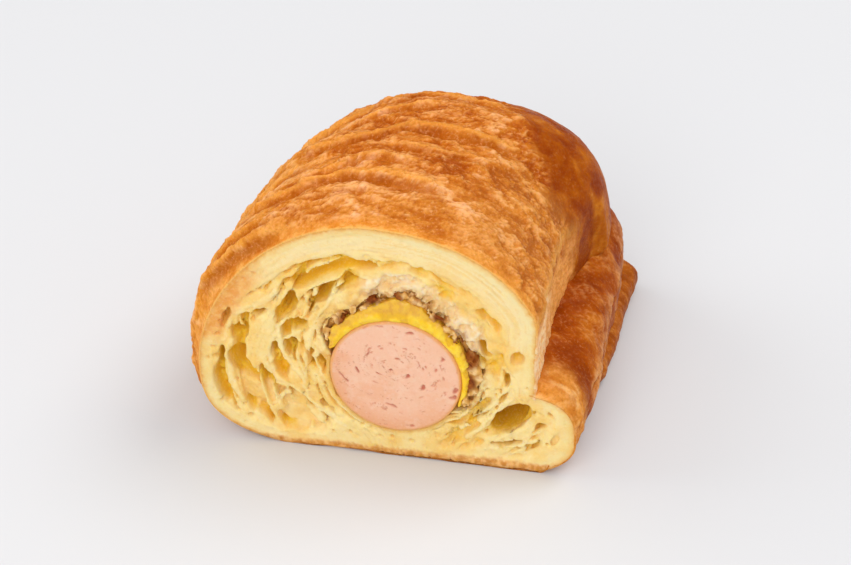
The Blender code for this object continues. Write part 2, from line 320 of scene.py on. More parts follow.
def inside_dough(x: Array, y: Array, z: Array) -> Array:
    """Distance inside the joined folds, in mm."""
    depth = Fold.WRAP.inside(x, y, z)
    for fold in (Fold.MIDDLE, Fold.FOOT):
        depth = np.maximum(depth, fold.inside(x, y, z))
    return depth


# --- meshes ----------------------------------------------------------------------------
@dataclass(frozen=True)
class FaceFrame:
    """Where the cut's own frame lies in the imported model."""

    origin: Vector

    @classmethod
    def from_sausage(cls) -> "FaceFrame":
        """Works the place out from the sausage's packed box."""
        low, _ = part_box("sausage")
        low = Vector(low)
        return cls(Vector((low.x - (SAUSAGE_CENTRE[0] - SAUSAGE_HALF_WIDTH) * MM, low.y,
                           low.z - (SAUSAGE_CENTRE[1] - SAUSAGE_HALF_HEIGHT) * MM)))

    def place(self, points: Array) -> Array:
        """Millimetres in the cut's frame to metres in the row frame."""
        return np.asarray(points, float) * MM + np.array(self.origin)


def mesh_object(name: str, points: Array, faces: Array, place: FaceFrame, colour: Array | None = None,
                floats: dict[str, Array] | None = None) -> bpy.types.Object:
    """Smooth-shaded mesh object with per-point attributes.

    Args:
        name: object and mesh name.
        points: (n, 3) millimetres in the cut's frame.
        faces: (m, 4) or (m, 3) point numbers.
        place: the cut's frame.
        colour: (n, 3) linear colours kept as attribute "tint".
        floats: further attributes by name.

    Returns:
        The linked object.
    """
    mesh = bpy.data.meshes.new(name)
    faces = np.asarray(faces, np.int32)
    count, corners = faces.shape
    mesh.vertices.add(len(points))
    mesh.vertices.foreach_set("co", place.place(points).astype(np.float32).ravel())
    mesh.loops.add(count * corners)
    mesh.loops.foreach_set("vertex_index", faces.ravel())
    mesh.polygons.add(count)
    mesh.polygons.foreach_set("loop_start", np.arange(0, count * corners, corners, dtype=np.int32))
    mesh.update(calc_edges=True)
    mesh.validate()
    if colour is not None:
        layer = mesh.color_attributes.new("tint", "FLOAT_COLOR", "POINT")
        layer.data.foreach_set("color", np.c_[np.clip(colour, 0, 1), np.ones(len(colour))].astype(np.float32).ravel())
    for key, values in (floats or {}).items():
        layer = mesh.attributes.new(key, "FLOAT", "POINT")
        layer.data.foreach_set("value", np.asarray(values, np.float32).ravel())
    mesh.shade_smooth()
    made = bpy.data.objects.new(name, mesh)
    bpy.context.scene.collection.objects.link(made)
    LOG.info("%s: %d faces", name, count)
    return made


def used_only(points: Array, faces: Array, *values: Array) -> tuple:
    """Drops points that no face uses, and renumbers the faces."""
    keep = np.zeros(len(points), bool)
    keep[faces.ravel()] = True
    number = np.cumsum(keep) - 1
    return (points[keep], number[faces]) + tuple(v[keep] for v in values)


def grid_faces(rows: int, columns: int, closed: bool) -> Array:
    """Quads over a grid of points in row order; closed joins the last column to the first."""
    i, j = np.meshgrid(np.arange(rows - 1), np.arange(columns if closed else columns - 1), indexing="ij")
    k = (j + 1) % columns
    a, b, c, d = i * columns + j, i * columns + k, (i + 1) * columns + k, (i + 1) * columns + j
    return np.stack([a, b, c, d], -1).reshape(-1, 4)


def surface_net(values: Array, xs: Array, ys: Array, zs: Array) -> tuple[Array, Array]:
    """Quads over the zero level of a sampled field.

    Args:
        values: field on the grid, positive inside the solid.
        xs, ys, zs: the grid's coordinates.

    Returns:
        Points and quads that face out of the solid.
    """
    inside = values > 0
    corners = [(a, b, c) for a in (0, 1) for b in (0, 1) for c in (0, 1)]
    nx, ny, nz = values.shape

    def shifted(array: Array, corner: tuple[int, int, int]) -> Array:
        a, b, c = corner
        return array[a:nx - 1 + a, b:ny - 1 + b, c:nz - 1 + c]

    total = sum(shifted(inside, c).astype(np.int8) for c in corners)
    active = (total > 0) & (total < 8)
    ai, aj, ak = np.nonzero(active)
    number = np.full(active.shape, -1, np.int64)
    number[ai, aj, ak] = np.arange(len(ai))
    at = {c: values[ai + c[0], aj + c[1], ak + c[2]] for c in corners}
    total_point = np.zeros((len(ai), 3))
    crossings = np.zeros(len(ai))
    for c in corners:
        for axis in range(3):
            if c[axis]:
                continue
            d = tuple(v + (1 if n == axis else 0) for n, v in enumerate(c))
            va, vb = at[c], at[d]
            cross = (va > 0) != (vb > 0)
            t = np.where(cross, va / np.where(cross, va - vb, 1.0), 0.0)
            point = np.array(c, float)[None, :].repeat(len(ai), 0)
            point[:, axis] = t
            total_point += point * cross[:, None]
            crossings += cross
    local = total_point / crossings[:, None]
    points = np.stack([xs[ai] + local[:, 0] * (xs[ai + 1] - xs[ai]),
                       ys[aj] + local[:, 1] * (ys[aj + 1] - ys[aj]),
                       zs[ak] + local[:, 2] * (zs[ak + 1] - zs[ak])], 1)
    quads = []
    for axis in range(3):
        first = [slice(1, -1)] * 3
        second = [slice(1, -1)] * 3
        first[axis], second[axis] = slice(0, -1), slice(1, None)
        change = inside[tuple(first)] != inside[tuple(second)]
        i, j, k = np.nonzero(change)
        base = [i, j, k]
        for n in range(3):
            if n != axis:
                base[n] = base[n] + 1
        u, v = (axis + 1) % 3, (axis + 2) % 3

        def cell(du: int, dv: int) -> Array:
            at_cell = list(base)
            at_cell[u] = at_cell[u] - du
            at_cell[v] = at_cell[v] - dv
            return number[at_cell[0], at_cell[1], at_cell[2]]

        quad = np.stack([cell(1, 1), cell(0, 1), cell(0, 0), cell(1, 0)], 1)
        outward = inside[base[0], base[1], base[2]]
        quads.append(np.where(outward[:, None], quad, quad[:, ::-1]))
    quads = np.concatenate(quads)
    return points, quads[(quads >= 0).all(1)]


# --- materials -------------------------------------------------------------------------
class NodeBuilder:
    """Adds nodes to one material in short calls."""

    def __init__(self, name: str) -> None:
        self.material = bpy.data.materials.new(name)
        self.material.use_nodes = True
        self.tree = self.material.node_tree
        self.shader = self.tree.nodes["Principled BSDF"]

    def add(self, kind: str, links: dict | None = None, **settings) -> bpy.types.Node:
        """Node with its settings, and sockets that take a value or another node's output."""
        node = self.tree.nodes.new(kind)
        for key, value in settings.items():
            setattr(node, key, value)
        for key, value in (links or {}).items():
            self.feed(node, key, value)
        return node

    def feed(self, node: bpy.types.Node, socket: str | int, value) -> None:
        if isinstance(value, bpy.types.NodeSocket):
            self.tree.links.new(value, node.inputs[socket])
        else:
            node.inputs[socket].default_value = value

    def attribute(self, name: str, output: str = "Fac") -> bpy.types.NodeSocket:
        return self.add("ShaderNodeAttribute", attribute_name=name).outputs[output]

    def noise(self, size_mm: float, detail: float = 3.0, roughness: float = 0.55, distortion: float = 0.0,
              stretch: tuple[float, float, float] = (1.0, 1.0, 1.0)) -> bpy.types.NodeSocket:
        """Noise whose features are size_mm across, longer along an axis by its stretch."""
        where = self.add("ShaderNodeTexCoord").outputs["Object"]
        scaled = self.add("ShaderNodeMapping", {"Vector": where, "Scale": tuple(1.0 / s for s in stretch)})
        return self.add("ShaderNodeTexNoise", {"Vector": scaled.outputs[0], "Scale": 1.0 / (size_mm * MM), "Detail": detail,
                                               "Roughness": roughness, "Distortion": distortion}).outputs["Fac"]

    def ramp(self, value: bpy.types.NodeSocket, low: float, high: float, to_low: float = 0.0,
             to_high: float = 1.0) -> bpy.types.NodeSocket:
        return self.add("ShaderNodeMapRange", {"Value": value, "From Min": low, "From Max": high, "To Min": to_low,
                                               "To Max": to_high}).outputs[0]

    def math(self, how: str, a, b=0.0) -> bpy.types.NodeSocket:
        return self.add("ShaderNodeMath", {0: a, 1: b}, operation=how).outputs[0]

    def blend(self, a, b, share, how: str = "MIX") -> bpy.types.NodeSocket:
        """Colour a to b by share."""
        node = self.add("ShaderNodeMix", data_type="RGBA", blend_type=how)
        self.feed(node, "Factor", share)
        self.feed(node, 6, a)
        self.feed(node, 7, b)
        return node.outputs[2]

    def bump(self, height: bpy.types.NodeSocket, distance_mm: float, strength: float = 1.0,
             under: bpy.types.NodeSocket | None = None) -> bpy.types.NodeSocket:
        links = {"Height": height, "Distance": distance_mm * MM, "Strength": strength}
        if under is not None:
            links["Normal"] = under
        return self.add("ShaderNodeBump", links).outputs[0]

    def surface(self, colour, roughness, normal: bpy.types.NodeSocket | None, scatter: float,
                radius_mm: tuple[float, float, float], specular: float = 0.5, coat: float = 0.0,
                coat_roughness: float = 0.3) -> bpy.types.Material:
        """Feeds the principled shader and gives back the material."""
        self.feed(self.shader, "Base Color", colour)
        self.feed(self.shader, "Roughness", roughness)
        if normal is not None:
            self.feed(self.shader, "Normal", normal)
        self.shader.inputs["Subsurface Weight"].default_value = scatter
        self.shader.inputs["Subsurface Radius"].default_value = tuple(r / max(radius_mm) for r in radius_mm)
        self.shader.inputs["Subsurface Scale"].default_value = max(radius_mm) * MM
        self.shader.inputs["Specular IOR Level"].default_value = specular
        self.shader.inputs["Coat Weight"].default_value = coat
        self.shader.inputs["Coat Roughness"].default_value = coat_roughness
        return self.material


@dataclass(frozen=True)
class CrustFinish:
    """Baked, flaky outside of the dough."""

    char: str = "#8a3400"
    film: str = "#fcb87c"
    speck_mm: float = 0.55
    pore_mm: float = 0.28

    def material(self) -> bpy.types.Material:
        b = NodeBuilder("baked_puff_crust")
        fine = b.noise(self.speck_mm, 4.0, 0.65)
        mottled = b.noise(1.5, 3.0, 0.6, 0.6)
        colour = b.blend(b.attribute("tint", "Color"), rgba(self.char), b.ramp(fine, 0.53, 0.76, 0.0, 0.42))
        dry = b.attribute("dry")
        flecks = b.math("MULTIPLY", b.ramp(fine, 0.48, 0.26, 0.0, 0.50), b.ramp(dry, 0.35, 0.42, 0.2, 1.0))
        colour = b.blend(colour, rgba(self.film), flecks)
        colour = b.blend(colour, rgba("#c46010"), b.ramp(mottled, 0.54, 0.72, 0.0, 0.22))
        rough = b.math("ADD", dry, b.ramp(fine, 0.3, 0.7, -0.08, 0.08))
        normal = b.bump(b.noise(self.pore_mm, 3.0, 0.7), 0.09, 0.7)
        normal = b.bump(mottled, 0.26, 0.8, b.bump(fine, 0.18, 0.8, normal))
        return b.surface(colour, rough, normal, 0.12, (0.8, 0.28, 0.05), 0.02, 0.035, 0.2)


@dataclass(frozen=True)
class CrumbFinish:
    """Buttery layered inside of the dough."""

    pale: str = "#ffe09a"
    band: str = "#fbcf78"
    # golden and amber colour the surfaces behind the cut: partly the layers' own buttery colour, partly painted shade
    # by depth.
    golden: str = "#f8cc30"
    amber: str = "#f0b820"
    rim: str = "#f0a244"
    moist: str = "#fbdcae"
    soaked: str = "#e0a838"
    stained: str = "#c98a3c"

    def material(self) -> bpy.types.Material:
        b = NodeBuilder("layered_dough_crumb")
        fine = b.noise(0.5, 4.0, 0.6)
        colour = b.blend(b.attribute("tint", "Color"), rgba("#fff0c0"), b.ramp(fine, 0.5, 0.8, 0.0, 0.30))
        colour = b.blend(colour, rgba("#eca828"), b.ramp(b.noise(0.9, 3.0, 0.6), 0.54, 0.78, 0.0, 0.24))
        normal = b.bump(b.noise(0.3, 3.0, 0.7), 0.10, 0.7)
        normal = b.bump(b.noise(0.9, 3.0, 0.6), 0.24, 0.7, normal)
        return b.surface(colour, 0.52, normal, 0.40, (1.7, 1.4, 0.4), 0.12, 0.0)


@dataclass(frozen=True)
class SausageFinish:
    """Moist cooked meat."""

    meat: str = "#f7c4a4"
    meat_warm: str = "#f0ae84"
    speck: str = "#a8402e"
    skin: str = "#eaac5c"
    baked: str = "#b8701f"

    def material(self) -> bpy.types.Material:
        b = NodeBuilder("cooked_sausage_meat")
        fine = b.noise(0.45, 4.0, 0.6)
        colour = b.blend(b.attribute("tint", "Color"), rgba("#f8d9c6"), b.ramp(fine, 0.55, 0.8, 0.0, 0.4))
        colour = b.blend(colour, rgba("#d98a70"), b.ramp(fine, 0.42, 0.22, 0.0, 0.3))
        normal = b.bump(b.noise(0.35, 3.0, 0.6), 0.06, 0.5)
        return b.surface(colour, b.ramp(fine, 0.3, 0.7, 0.32, 0.46), normal, 0.3, (1.4, 0.6, 0.35), 0.22, 0.06, 0.25)


@dataclass(frozen=True)
class MustardFinish:
    """Thick smooth mustard."""

    bright: str = "#ffcd16"
    soaked: str = "#ecb43c"

    def material(self) -> bpy.types.Material:
        b = NodeBuilder("yellow_mustard")
        grain = b.noise(0.5, 3.0, 0.6)
        colour = b.blend(b.attribute("tint", "Color"), rgba("#d79c0c"), b.ramp(grain, 0.55, 0.8, 0.0, 0.4))
        normal = b.bump(grain, 0.10, 0.5)
        return b.surface(colour, 0.3, normal, 0.25, (1.0, 0.7, 0.06), 0.3, 0.2, 0.15)


@dataclass(frozen=True)
class OnionFinish:
    """Dry roast onion crumbs."""

    soaked: str = "#e0a850"
    brown: str = "#a8601f"
    dark: str = "#6e2e08"

    def material(self) -> bpy.types.Material:
        b = NodeBuilder("roast_onion_crumbs")
        grain = b.noise(0.4, 3.0, 0.6)
        colour = b.blend(b.attribute("tint", "Color"), rgba("#c07a35"), b.ramp(grain, 0.55, 0.8, 0.0, 0.45))
        normal = b.bump(grain, 0.12, 0.7)
        return b.surface(colour, 0.5, normal, 0.1, (0.6, 0.3, 0.1), 0.12, 0.0)


# --- the crust ---------------------------------------------------------------------------
@dataclass(frozen=True)
class Slot:
    """Slot left open between the folded sheets at the baked end, leaning by tilt degrees."""

    x: float
    z: float
    half_width: float
    half_height: float
    depth: float
    tilt: float

    def reach(self, x: Array, z: Array) -> Array:
        """0 at the slot's middle, 1 on its rim."""
        c, s = math.cos(math.radians(self.tilt)), math.sin(math.radians(self.tilt))
        dx, dz = x - self.x, z - self.z
        return np.hypot((dx * c - dz * s) / self.half_width, (dx * s + dz * c) / self.half_height)


END_SLOTS = (Slot(11.5, 20.5, 3.0, 12.5, 9.0, -16), Slot(-4.5, 16.5, 3.2, 12.0, 9.0, -16))


@dataclass(frozen=True)
class Wrinkle:
    """Long fold in the crust running round the roll: places as (degrees, mm from the cut)."""

    places: Keys
    width: float
    depth: float

    def at(self, degrees: Array, y: Array, wobble: Array) -> Array:
        """Height change in mm: a groove with a small lip behind it."""
        first, last = min(p[0] for p in self.places), max(p[0] for p in self.places)
        along = smooth(first - 6, first + 5, degrees) * smooth(last + 6, last - 5, degrees)
        off = (y - keyed(degrees, sorted(self.places)) + wobble) / self.width
        return along * self.depth * (0.55 * np.exp(-((off - 1.3) / 0.8) ** 2) - np.exp(-off ** 2))


WRINKLES = (
    Wrinkle(((121, 1.3), (139, 2.0), (154, 3.0)), 0.8, 0.9),
    Wrinkle(((124, 4.0), (140, 4.4), (158, 6.0)), 0.7, 0.6),
    Wrinkle(((76, 11.0), (94, 12.6), (102, 13.2), (122, 9.6)), 1.3, 1.1),
    Wrinkle(((84, 17.0), (96, 18.2), (112, 15.2)), 0.8, 0.5),
    Wrinkle(((62, 30.2), (74, 28.8), (89, 28.8), (106, 25.0), (118, 24.0)), 1.2, 1.2),
    Wrinkle(((66, 23.0), (80, 22.0), (90, 22.4)), 0.8, 0.6),
    Wrinkle(((90, 36.7), (101, 35.4), (109, 32.6)), 1.0, 0.8),
    Wrinkle(((118, 19.0), (134, 18.0), (150, 20.0), (168, 22.0)), 1.5, 0.8),
    Wrinkle(((112, 38.0), (132, 36.0), (160, 37.0), (185, 38.0)), 1.8, 1.6),
    Wrinkle(((124, 10.0), (144, 9.0), (176, 12.0)), 1.3, 0.6),
    Wrinkle(((70, 41.0), (88, 43.0), (112, 45.0)), 1.2, 0.8),
    Wrinkle(((128, 29.0), (150, 30.0), (178, 28.0)), 1.4, 0.6),
)
LOBE_EDGE: Keys = ((20, 28.0), (30, 26.5), (38, 24.5), (42, 26.0), (49, 30.5), (55, 33.5), (64, 40.5), (80, 48.0))


# edges of the thin sheets along the middle fold, as (mm from the cut, degrees)
FOLD_EDGES = (((0, 2.0), (17, 6.0), (35, 9.5), (57, 16.5)), ((0, 14.0), (17, 15.0), (35, 22.0), (57, 30.0)))


@dataclass(frozen=True)
class CrustRelief:
    """Patterns that the crust's relief and colours share, each from 0 to 1 unless told."""

    warp: Array
    puff: Array
    patch: Array
    stroke: Array
    flake: Array
    crinkle: Array
    sheet: Array
    lip: Array
    shade: Array
    seam: Array
    share: Array


@dataclass
class CrustSheet:
    """One fold of the dough's baked outside."""

    fold: Fold
    finish: CrustFinish
    place: FaceFrame
    step: float = 0.34
    noise: Noise = field(default_factory=lambda: Noise(11))

    def _places(self) -> tuple[Array, Array]:
        """Places along the roll, and how far each ring is drawn in at the cut's lip."""
        length, rounding = self.fold.length, self.fold.rounding
        straight = np.arange(0.35, length - rounding, self.step)
        bend = np.radians(np.arange(0.0, 89.2, math.degrees(self.step / rounding) * 0.62))
        y = np.concatenate([[0.6, 0.16, 0.06], straight, length - rounding + rounding * np.sin(bend), [length]])
        drawn = np.concatenate([[0.9, 0.38, 0.10], np.zeros(len(y) - 3)])
        return y, drawn

    def _columns(self) -> Array:
        """Directions round the section, closer where the radius is larger."""
        count = {Fold.WRAP: 640, Fold.MIDDLE: 430, Fold.FOOT: 340}[self.fold]
        return np.linspace(-math.pi, math.pi, count, endpoint=False) - math.pi / 2

    def build(self) -> bpy.types.Object:
        """Makes the sheet with its relief and colours.

        Returns:
            The mesh object, in place.
        """
        angles = self._columns()
        y_ring, drawn = self._places()
        angle, y = np.meshgrid(angles, y_ring)
        radius = (self.fold.radius(angle, y) - drawn[:, None]) * (y < self.fold.length - 0.001)
        x = self.fold.centre[0] + self.fold.drift(y) + radius * np.cos(angle)
        z = self.fold.centre[1] + radius * np.sin(angle)
        points = np.stack([x, y, z], -1)
        normal = np.cross(np.gradient(points, axis=0), np.roll(points, -1, 1) - np.roll(points, 1, 1))
        normal /= np.maximum(np.linalg.norm(normal, axis=-1, keepdims=True), 1e-9)
        outward = (normal[..., 0] * np.cos(angle) + normal[..., 2] * np.sin(angle)).mean()
        normal *= np.sign(outward)
        height, colour, dry = self._skin(angle, y, x, z, normal)
        height = height * smooth(0.9, 0.0, drawn)[:, None]
        points = points + normal * height[..., None]
        points[..., 1] = np.maximum(points[..., 1], 0.02)
        for slot in END_SLOTS:
            e = slot.reach(points[..., 0], points[..., 2])
            floor = FOOT_LENGTH - slot.depth * np.sqrt(np.clip(1.0 - e ** 2, 0, 1))
            cut = (e < 1.0) & (y > 35.0) & (points[..., 1] > floor)
            points[..., 1] = np.where(cut, floor, points[..., 1])
            colour = mix(colour, linear("#e0a060"), 0.45 * np.exp(-((e - 1.05) / 0.08) ** 2) * (y > 48.0))
            # The slot's inside is baked brown with painted shade, darkest at its middle where the opening is deepest.
            inner = tones(self.noise.fbm(x / 0.8, y / 3.0, z / 3.0, 3), "#7a3a0c", "#a8641c", "#cc8c3c")
            colour = np.where((cut & (e < 0.98))[..., None], mix(inner, linear("#4a1c04"), smooth(0.9, 0.2, e)), colour)
        uneven = 0.12 * self.noise.value(x / 2.0, y / 2.0, 3.3)
        uneven = uneven + 0.35 * smooth(2.2, 0.0, y) * smooth(0.35, 0.8, self.noise.value(x / 4.5, y / 3.0, 9.3))
        points[..., 2] = np.maximum(points[..., 2], uneven)
        covered = self._covered(x, y, z)
        faces = grid_faces(len(y_ring), len(angles), True)
        if normal_side(points.reshape(-1, 3), faces, normal.reshape(-1, 3)) < 0:
            faces = faces[:, ::-1]
        faces = faces[~covered.ravel()[faces].all(1)]
        flat, faces, colour, dry = used_only(points.reshape(-1, 3), faces, colour.reshape(-1, 3), dry.ravel())
        made = mesh_object(f"crust_{self.fold.value}", flat, faces, self.place, colour, {"dry": dry})
        made.data.materials.append(self.finish.material())
        return made

    def _covered(self, x: Array, y: Array, z: Array) -> Array:
        """Points buried in another fold, which nothing shows."""
        buried = np.zeros(x.shape, bool)
        for other in Fold:
            if other is self.fold:
                continue
            depth = np.minimum(other.inside(x, y, z), other.inside(x, y + 1.6, z))
            buried |= depth > 0.9
            if self.fold is not Fold.WRAP:
                buried |= (depth > 0.0) & (z < 0.3)
        return buried

    def _skin(self, angle: Array, y: Array, x: Array, z: Array, normal: Array) -> tuple[Array, Array, Array]:
        """Relief in mm, linear colour and dryness of the crust."""
        n = self.noise
        degrees = (np.degrees(angle) + 90.0) % 360.0 - 90.0
        salt = {Fold.WRAP: 0.0, Fold.MIDDLE: 40.0, Fold.FOOT: 80.0}[self.fold]
        warp = 2.4 * (n.fbm(x / 4.0, y / 4.0, z / 4.0 + salt, 3) - 0.5)

        def pattern(along: float, across: float, shift: float, octaves: int = 3, gain: float = 0.55) -> Array:
            """Noise whose marks are along mm long round the roll and across mm wide."""
            return n.fbm((x + warp) / along, (y + 0.8 * warp) / across, (z - warp) / along + salt + shift, octaves, gain)

        puff = pattern(12.0, 6.5, 0.5, 2) - 0.5
        patch = spread(pattern(6.5, 4.4, 3.5, 3))
        stroke = spread(pattern(1.8, 0.95, 7.5, 4, 0.72))
        flake = smooth(0.49, 0.58, pattern(3.2, 1.7, 15.5, 5, 0.70))
        crinkle = 1.0 - np.abs(2.0 * pattern(2.1, 1.2, 11.5, 2) - 1.0)
        step = (0.75 * pattern(5.2, 2.6, 19.5, 3, 0.58) + 0.25 * patch) * 11.0
        level = step - np.floor(step)
        sheet = np.floor(step) + smooth(0.0, 0.30, level)
        sheet = (sheet - sheet.mean()) / 11.0
        # lip marks the raised edge of each baked step, where the colours put a painted highlight; shade marks the foot
        # of the next step, where they put painted shade.
        lip = smooth(0.05, 0.26, level) * smooth(0.62, 0.34, level)
        shade = smooth(0.74, 0.96, level)
        # seam marks random crease lines, which the colours darken as painted shade.
        seam = smooth(0.050, 0.0, np.abs(pattern(16.0, 4.0, 23.5, 3) - 0.5)) * smooth(0.42, 0.60, pattern(9.0, 6.0, 27.5, 2))
        share = np.clip(0.46 + 1.3 * (0.32 * patch + 0.32 * flake + 0.36 * stroke - 0.5), 0.0, 1.0)
        relief = CrustRelief(warp, puff, patch, stroke, flake, crinkle, sheet, lip, shade, seam, share)
        if self.fold is Fold.WRAP:
            return self._wrap_skin(degrees, y, z, relief)
        return self._fold_skin(degrees, y, z, relief, pattern(6.0, 7.0, 31.5, 3))

    def _fold_skin(self, degrees: Array, y: Array, z: Array, relief: "CrustRelief",
                   glaze: Array) -> tuple[Array, Array, Array]:
        """Skin of the two lower folds: glossy, dark and layered, paler close to the cut."""
        glaze = spread(glaze)
        near_cut = smooth(0.3, 3.0, y)
        height = near_cut * (0.8 * relief.puff + 0.18 * (glaze - 0.5) + 0.10 * (relief.crinkle - 0.7) + 0.8 * relief.sheet)
        colour = tones(0.45 * glaze + 0.35 * relief.patch + 0.2 * relief.stroke, "#802e00", "#923c00", "#a44a02", "#bc640e",
                       "#d88c38")
        if self.fold is Fold.FOOT:
            colour = mix(colour, tones(relief.share, "#9c4e0c", "#bc6a1c", "#dc9444"), 0.65)
        # Painted highlight on the raised step edges, then painted shade along the crease lines.
        colour = mix(colour, linear("#e8a260"), 0.30 * relief.lip * smooth(0.55, 0.8, relief.patch))
        colour = mix(colour, linear("#7c2c00"), 0.5 * relief.seam)
        colour = mix(colour, tones(relief.share, "#d88226", "#efa246", "#fbc278"), 0.9 * smooth(8.0, 1.0, y + 6.0 * (glaze - 0.5)))
        if self.fold is Fold.MIDDLE:
            for line in FOLD_EDGES:
                off = (degrees - keyed(y, line)) * 0.30 + 0.8 * relief.warp
                lifted = smooth(0.30, 0.75, relief.patch)
                fade = np.where(off > 0.0, np.exp(-np.abs(off) / (0.25 + 0.9 * lifted)), np.exp(-(off / 0.14) ** 2))
                height = height + near_cut * (0.45 * smooth(-0.2, 0.3, off) - 0.25 * np.exp(-((off + 0.45) / 0.35) ** 2))
                # Painted shadow in the dip just under each sheet's edge.
                colour = mix(colour, linear("#6c2400"), 0.55 * np.exp(-((off + 0.4) / 0.35) ** 2) * near_cut)
                edge_tone = tones(relief.stroke, "#c47430", "#e09c58", "#f0b684")
                colour = mix(colour, edge_tone, (0.36 + 0.50 * lifted) * fade)
        under = smooth(2.4, 0.4, z + 0.8 * relief.warp)
        colour = mix(colour, tones(relief.stroke, "#9a5a20", "#c08038"), 0.8 * under)
        return height, colour, 0.33 + 0.06 * relief.stroke + 0.2 * under

    def _wrap_skin(self, degrees: Array, y: Array, z: Array, relief: "CrustRelief") -> tuple[Array, Array, Array]:
        """Skin of the outer sheet, with its wrinkles, dark lobe and pale end face."""
        warp, patch, stroke, share = relief.warp, relief.patch, relief.stroke, relief.share
        angle = np.radians(degrees)
        opened = wrap_open(angle, y) * end_round(y, WRAP_LENGTH, WRAP_END_ROUND)
        cut_back = opened - wrap_radius(angle, y)
        side = smooth(0.3, 0.7, np.cos(angle))
        face_reach = smooth(32.0, 26.5, y + 1.6 * warp)
        rough = (0.25 + 0.65 * smooth(2.0, 9.0, y)) * warp + 1.2 * (patch - 0.5) * smooth(2.0, 9.0, y)
        end_face = smooth(0.5, 1.9, cut_back + rough) * face_reach * side
        # corner marks the edge between the top and the end face, where a painted highlight goes.
        corner = np.exp(-((cut_back - 0.5) / 0.45) ** 2) * face_reach * side
        lobe = smooth(-2.2, 3.2, y - keyed(degrees, LOBE_EDGE) + 1.7 * warp + 4.0 * (patch - 0.5))
        lobe = lobe * smooth(82.0, 58.0, degrees + 4.0 * warp) * (degrees > -60)
        groove = sum(w.at(degrees, y, 0.4 * warp) for w in WRINKLES)
        near_cut = smooth(0.6, 3.4, y + 0.8 * warp)
        calm = (1.0 - 0.8 * lobe) * (1.0 - 0.7 * end_face) * near_cut
        blister = 0.18 * (stroke - 0.5) + 0.20 * relief.flake + 0.18 * (relief.crinkle - 0.7)
        height = calm * (blister + 2.0 * relief.sheet - 0.32 * relief.seam) + groove
        height = height + 1.5 * relief.puff * smooth(1.0, 9.0, y) * (1.0 - 0.8 * end_face) * (1.0 - 0.5 * lobe)
        grain = spread(self.noise.fbm(y / 1.1, z / 0.8, 2.5, 3, 0.65))
        height = height + end_face * 0.20 * (grain - 0.5)
        left = smooth(95.0, 150.0, degrees)
        right = smooth(88.0, 50.0, degrees)
        colour = tones(share, "#a84e06", "#c46a1a", "#d6822e", "#e49850", "#f2b27c")
        colour = mix(colour, tones(share, "#c86c0c", "#dc8822", "#ea9a38", "#f3aa52", "#fabc78"), left)
        colour = mix(colour, tones(share, "#a04402", "#ba5e0c", "#d0781e", "#e0903c", "#f0ac6c"), right)
        calmer = smooth(20.0, 8.0, y + 2.0 * warp) * smooth(40.0, 62.0, degrees) * smooth(128.0, 108.0, degrees)
        colour = mix(colour, tones(share, "#c06a1c", "#d4832c", "#e4984a", "#f0aa66", "#f8bc86"), 0.7 * calmer)
        # Painted highlight on the raised step edges, then painted shade at the foot of each step and along the crease
        # lines.
        colour = mix(colour, linear("#fbbc80"), 0.34 * relief.lip * relief.flake * (1.0 - lobe))
        colour = mix(colour, linear("#a84c06"), 0.42 * relief.shade + 0.45 * relief.seam)
        far = smooth(26.0, 50.0, y) * smooth(60.0, 85.0, degrees)
        colour = mix(colour, colour * np.array([0.86, 0.76, 0.62]), far)
        front = smooth(3.0, 0.8, y + 1.4 * warp)
        colour = mix(colour, tones(stroke, "#dc8426", "#ec9a3c", "#f8b258"), 0.85 * front)
        # Painted shade in the wrinkles' grooves and a painted highlight on the raised lip behind each.
        colour = mix(colour, linear("#b45c0c"), np.clip(-groove * 1.3, 0, 0.72))
        colour = mix(colour, linear("#f6a848"), np.clip(groove * 1.8, 0, 0.5))
        dusky = np.exp(-((y - 1.3) / 0.8) ** 2) * smooth(128.0, 112.0, degrees) * smooth(25.0, 45.0, degrees)
        colour = mix(colour, linear("#d87f25"), 0.5 * dusky)
        colour = mix(colour, linear("#fbc06a"), smooth(0.4, 0.05, y))
        dark = tones(0.35 * share + 0.65 * patch, "#843000", "#923c00", "#a04a02", "#b25c08", "#ca781c")
        colour = mix(colour, dark, lobe)
        face_tone = mix(tones(grain, "#f4ae66", "#ffca8c", "#ffdcaa"), tones(grain, "#dc8a38", "#f8aa5a"), smooth(3.0, 20.0, y))
        colour = mix(colour, face_tone, end_face)
        # Painted highlight along the corner between the top and the end face.
        colour = mix(colour, linear("#f0ac50"), 0.6 * corner)
        # Painted shadow where the wrap tucks under on the right, low down.
        tuck_shadow = smooth(0.8, 3.5, y) * smooth(20.0, 16.5, z + 0.8 * warp) * smooth(0.4, 0.8, np.cos(angle))
        colour = mix(colour, linear("#883a00"), 0.75 * tuck_shadow)
        under = smooth(4.0, 0.6, z + 0.8 * warp) * (1.0 - tuck_shadow)
        colour = mix(colour, tones(stroke, "#a8642a", "#c88442", "#dea25c"), under)
        baked_end = smooth(46.0, 56.0, y) * (1.0 - lobe)
        colour = mix(colour, colour * np.array([0.84, 0.70, 0.52]), baked_end)
        dry = 0.42 - 0.10 * lobe + 0.12 * (stroke - 0.5) + 0.12 * end_face + 0.15 * under
        return height, colour, dry


def normal_side(points: Array, faces: Array, normals: Array) -> float:
    """Sign of the faces' winding against the wanted normals."""
    p = points[faces[:, :3]]
    n = np.cross(p[:, 1] - p[:, 0], p[:, 2] - p[:, 0])
    return float(np.sign((n * normals[faces[:, 0]]).sum()))


# --- the crumb -----------------------------------------------------------------------------
@dataclass(frozen=True)
class Pocket:
    """Baked hollow in the crumb: middle, half sizes across and along its lean, and depth."""

    x: float
    z: float
    half_long: float
    half_short: float
    tilt: float
    depth: float
    ragged: float = 0.45


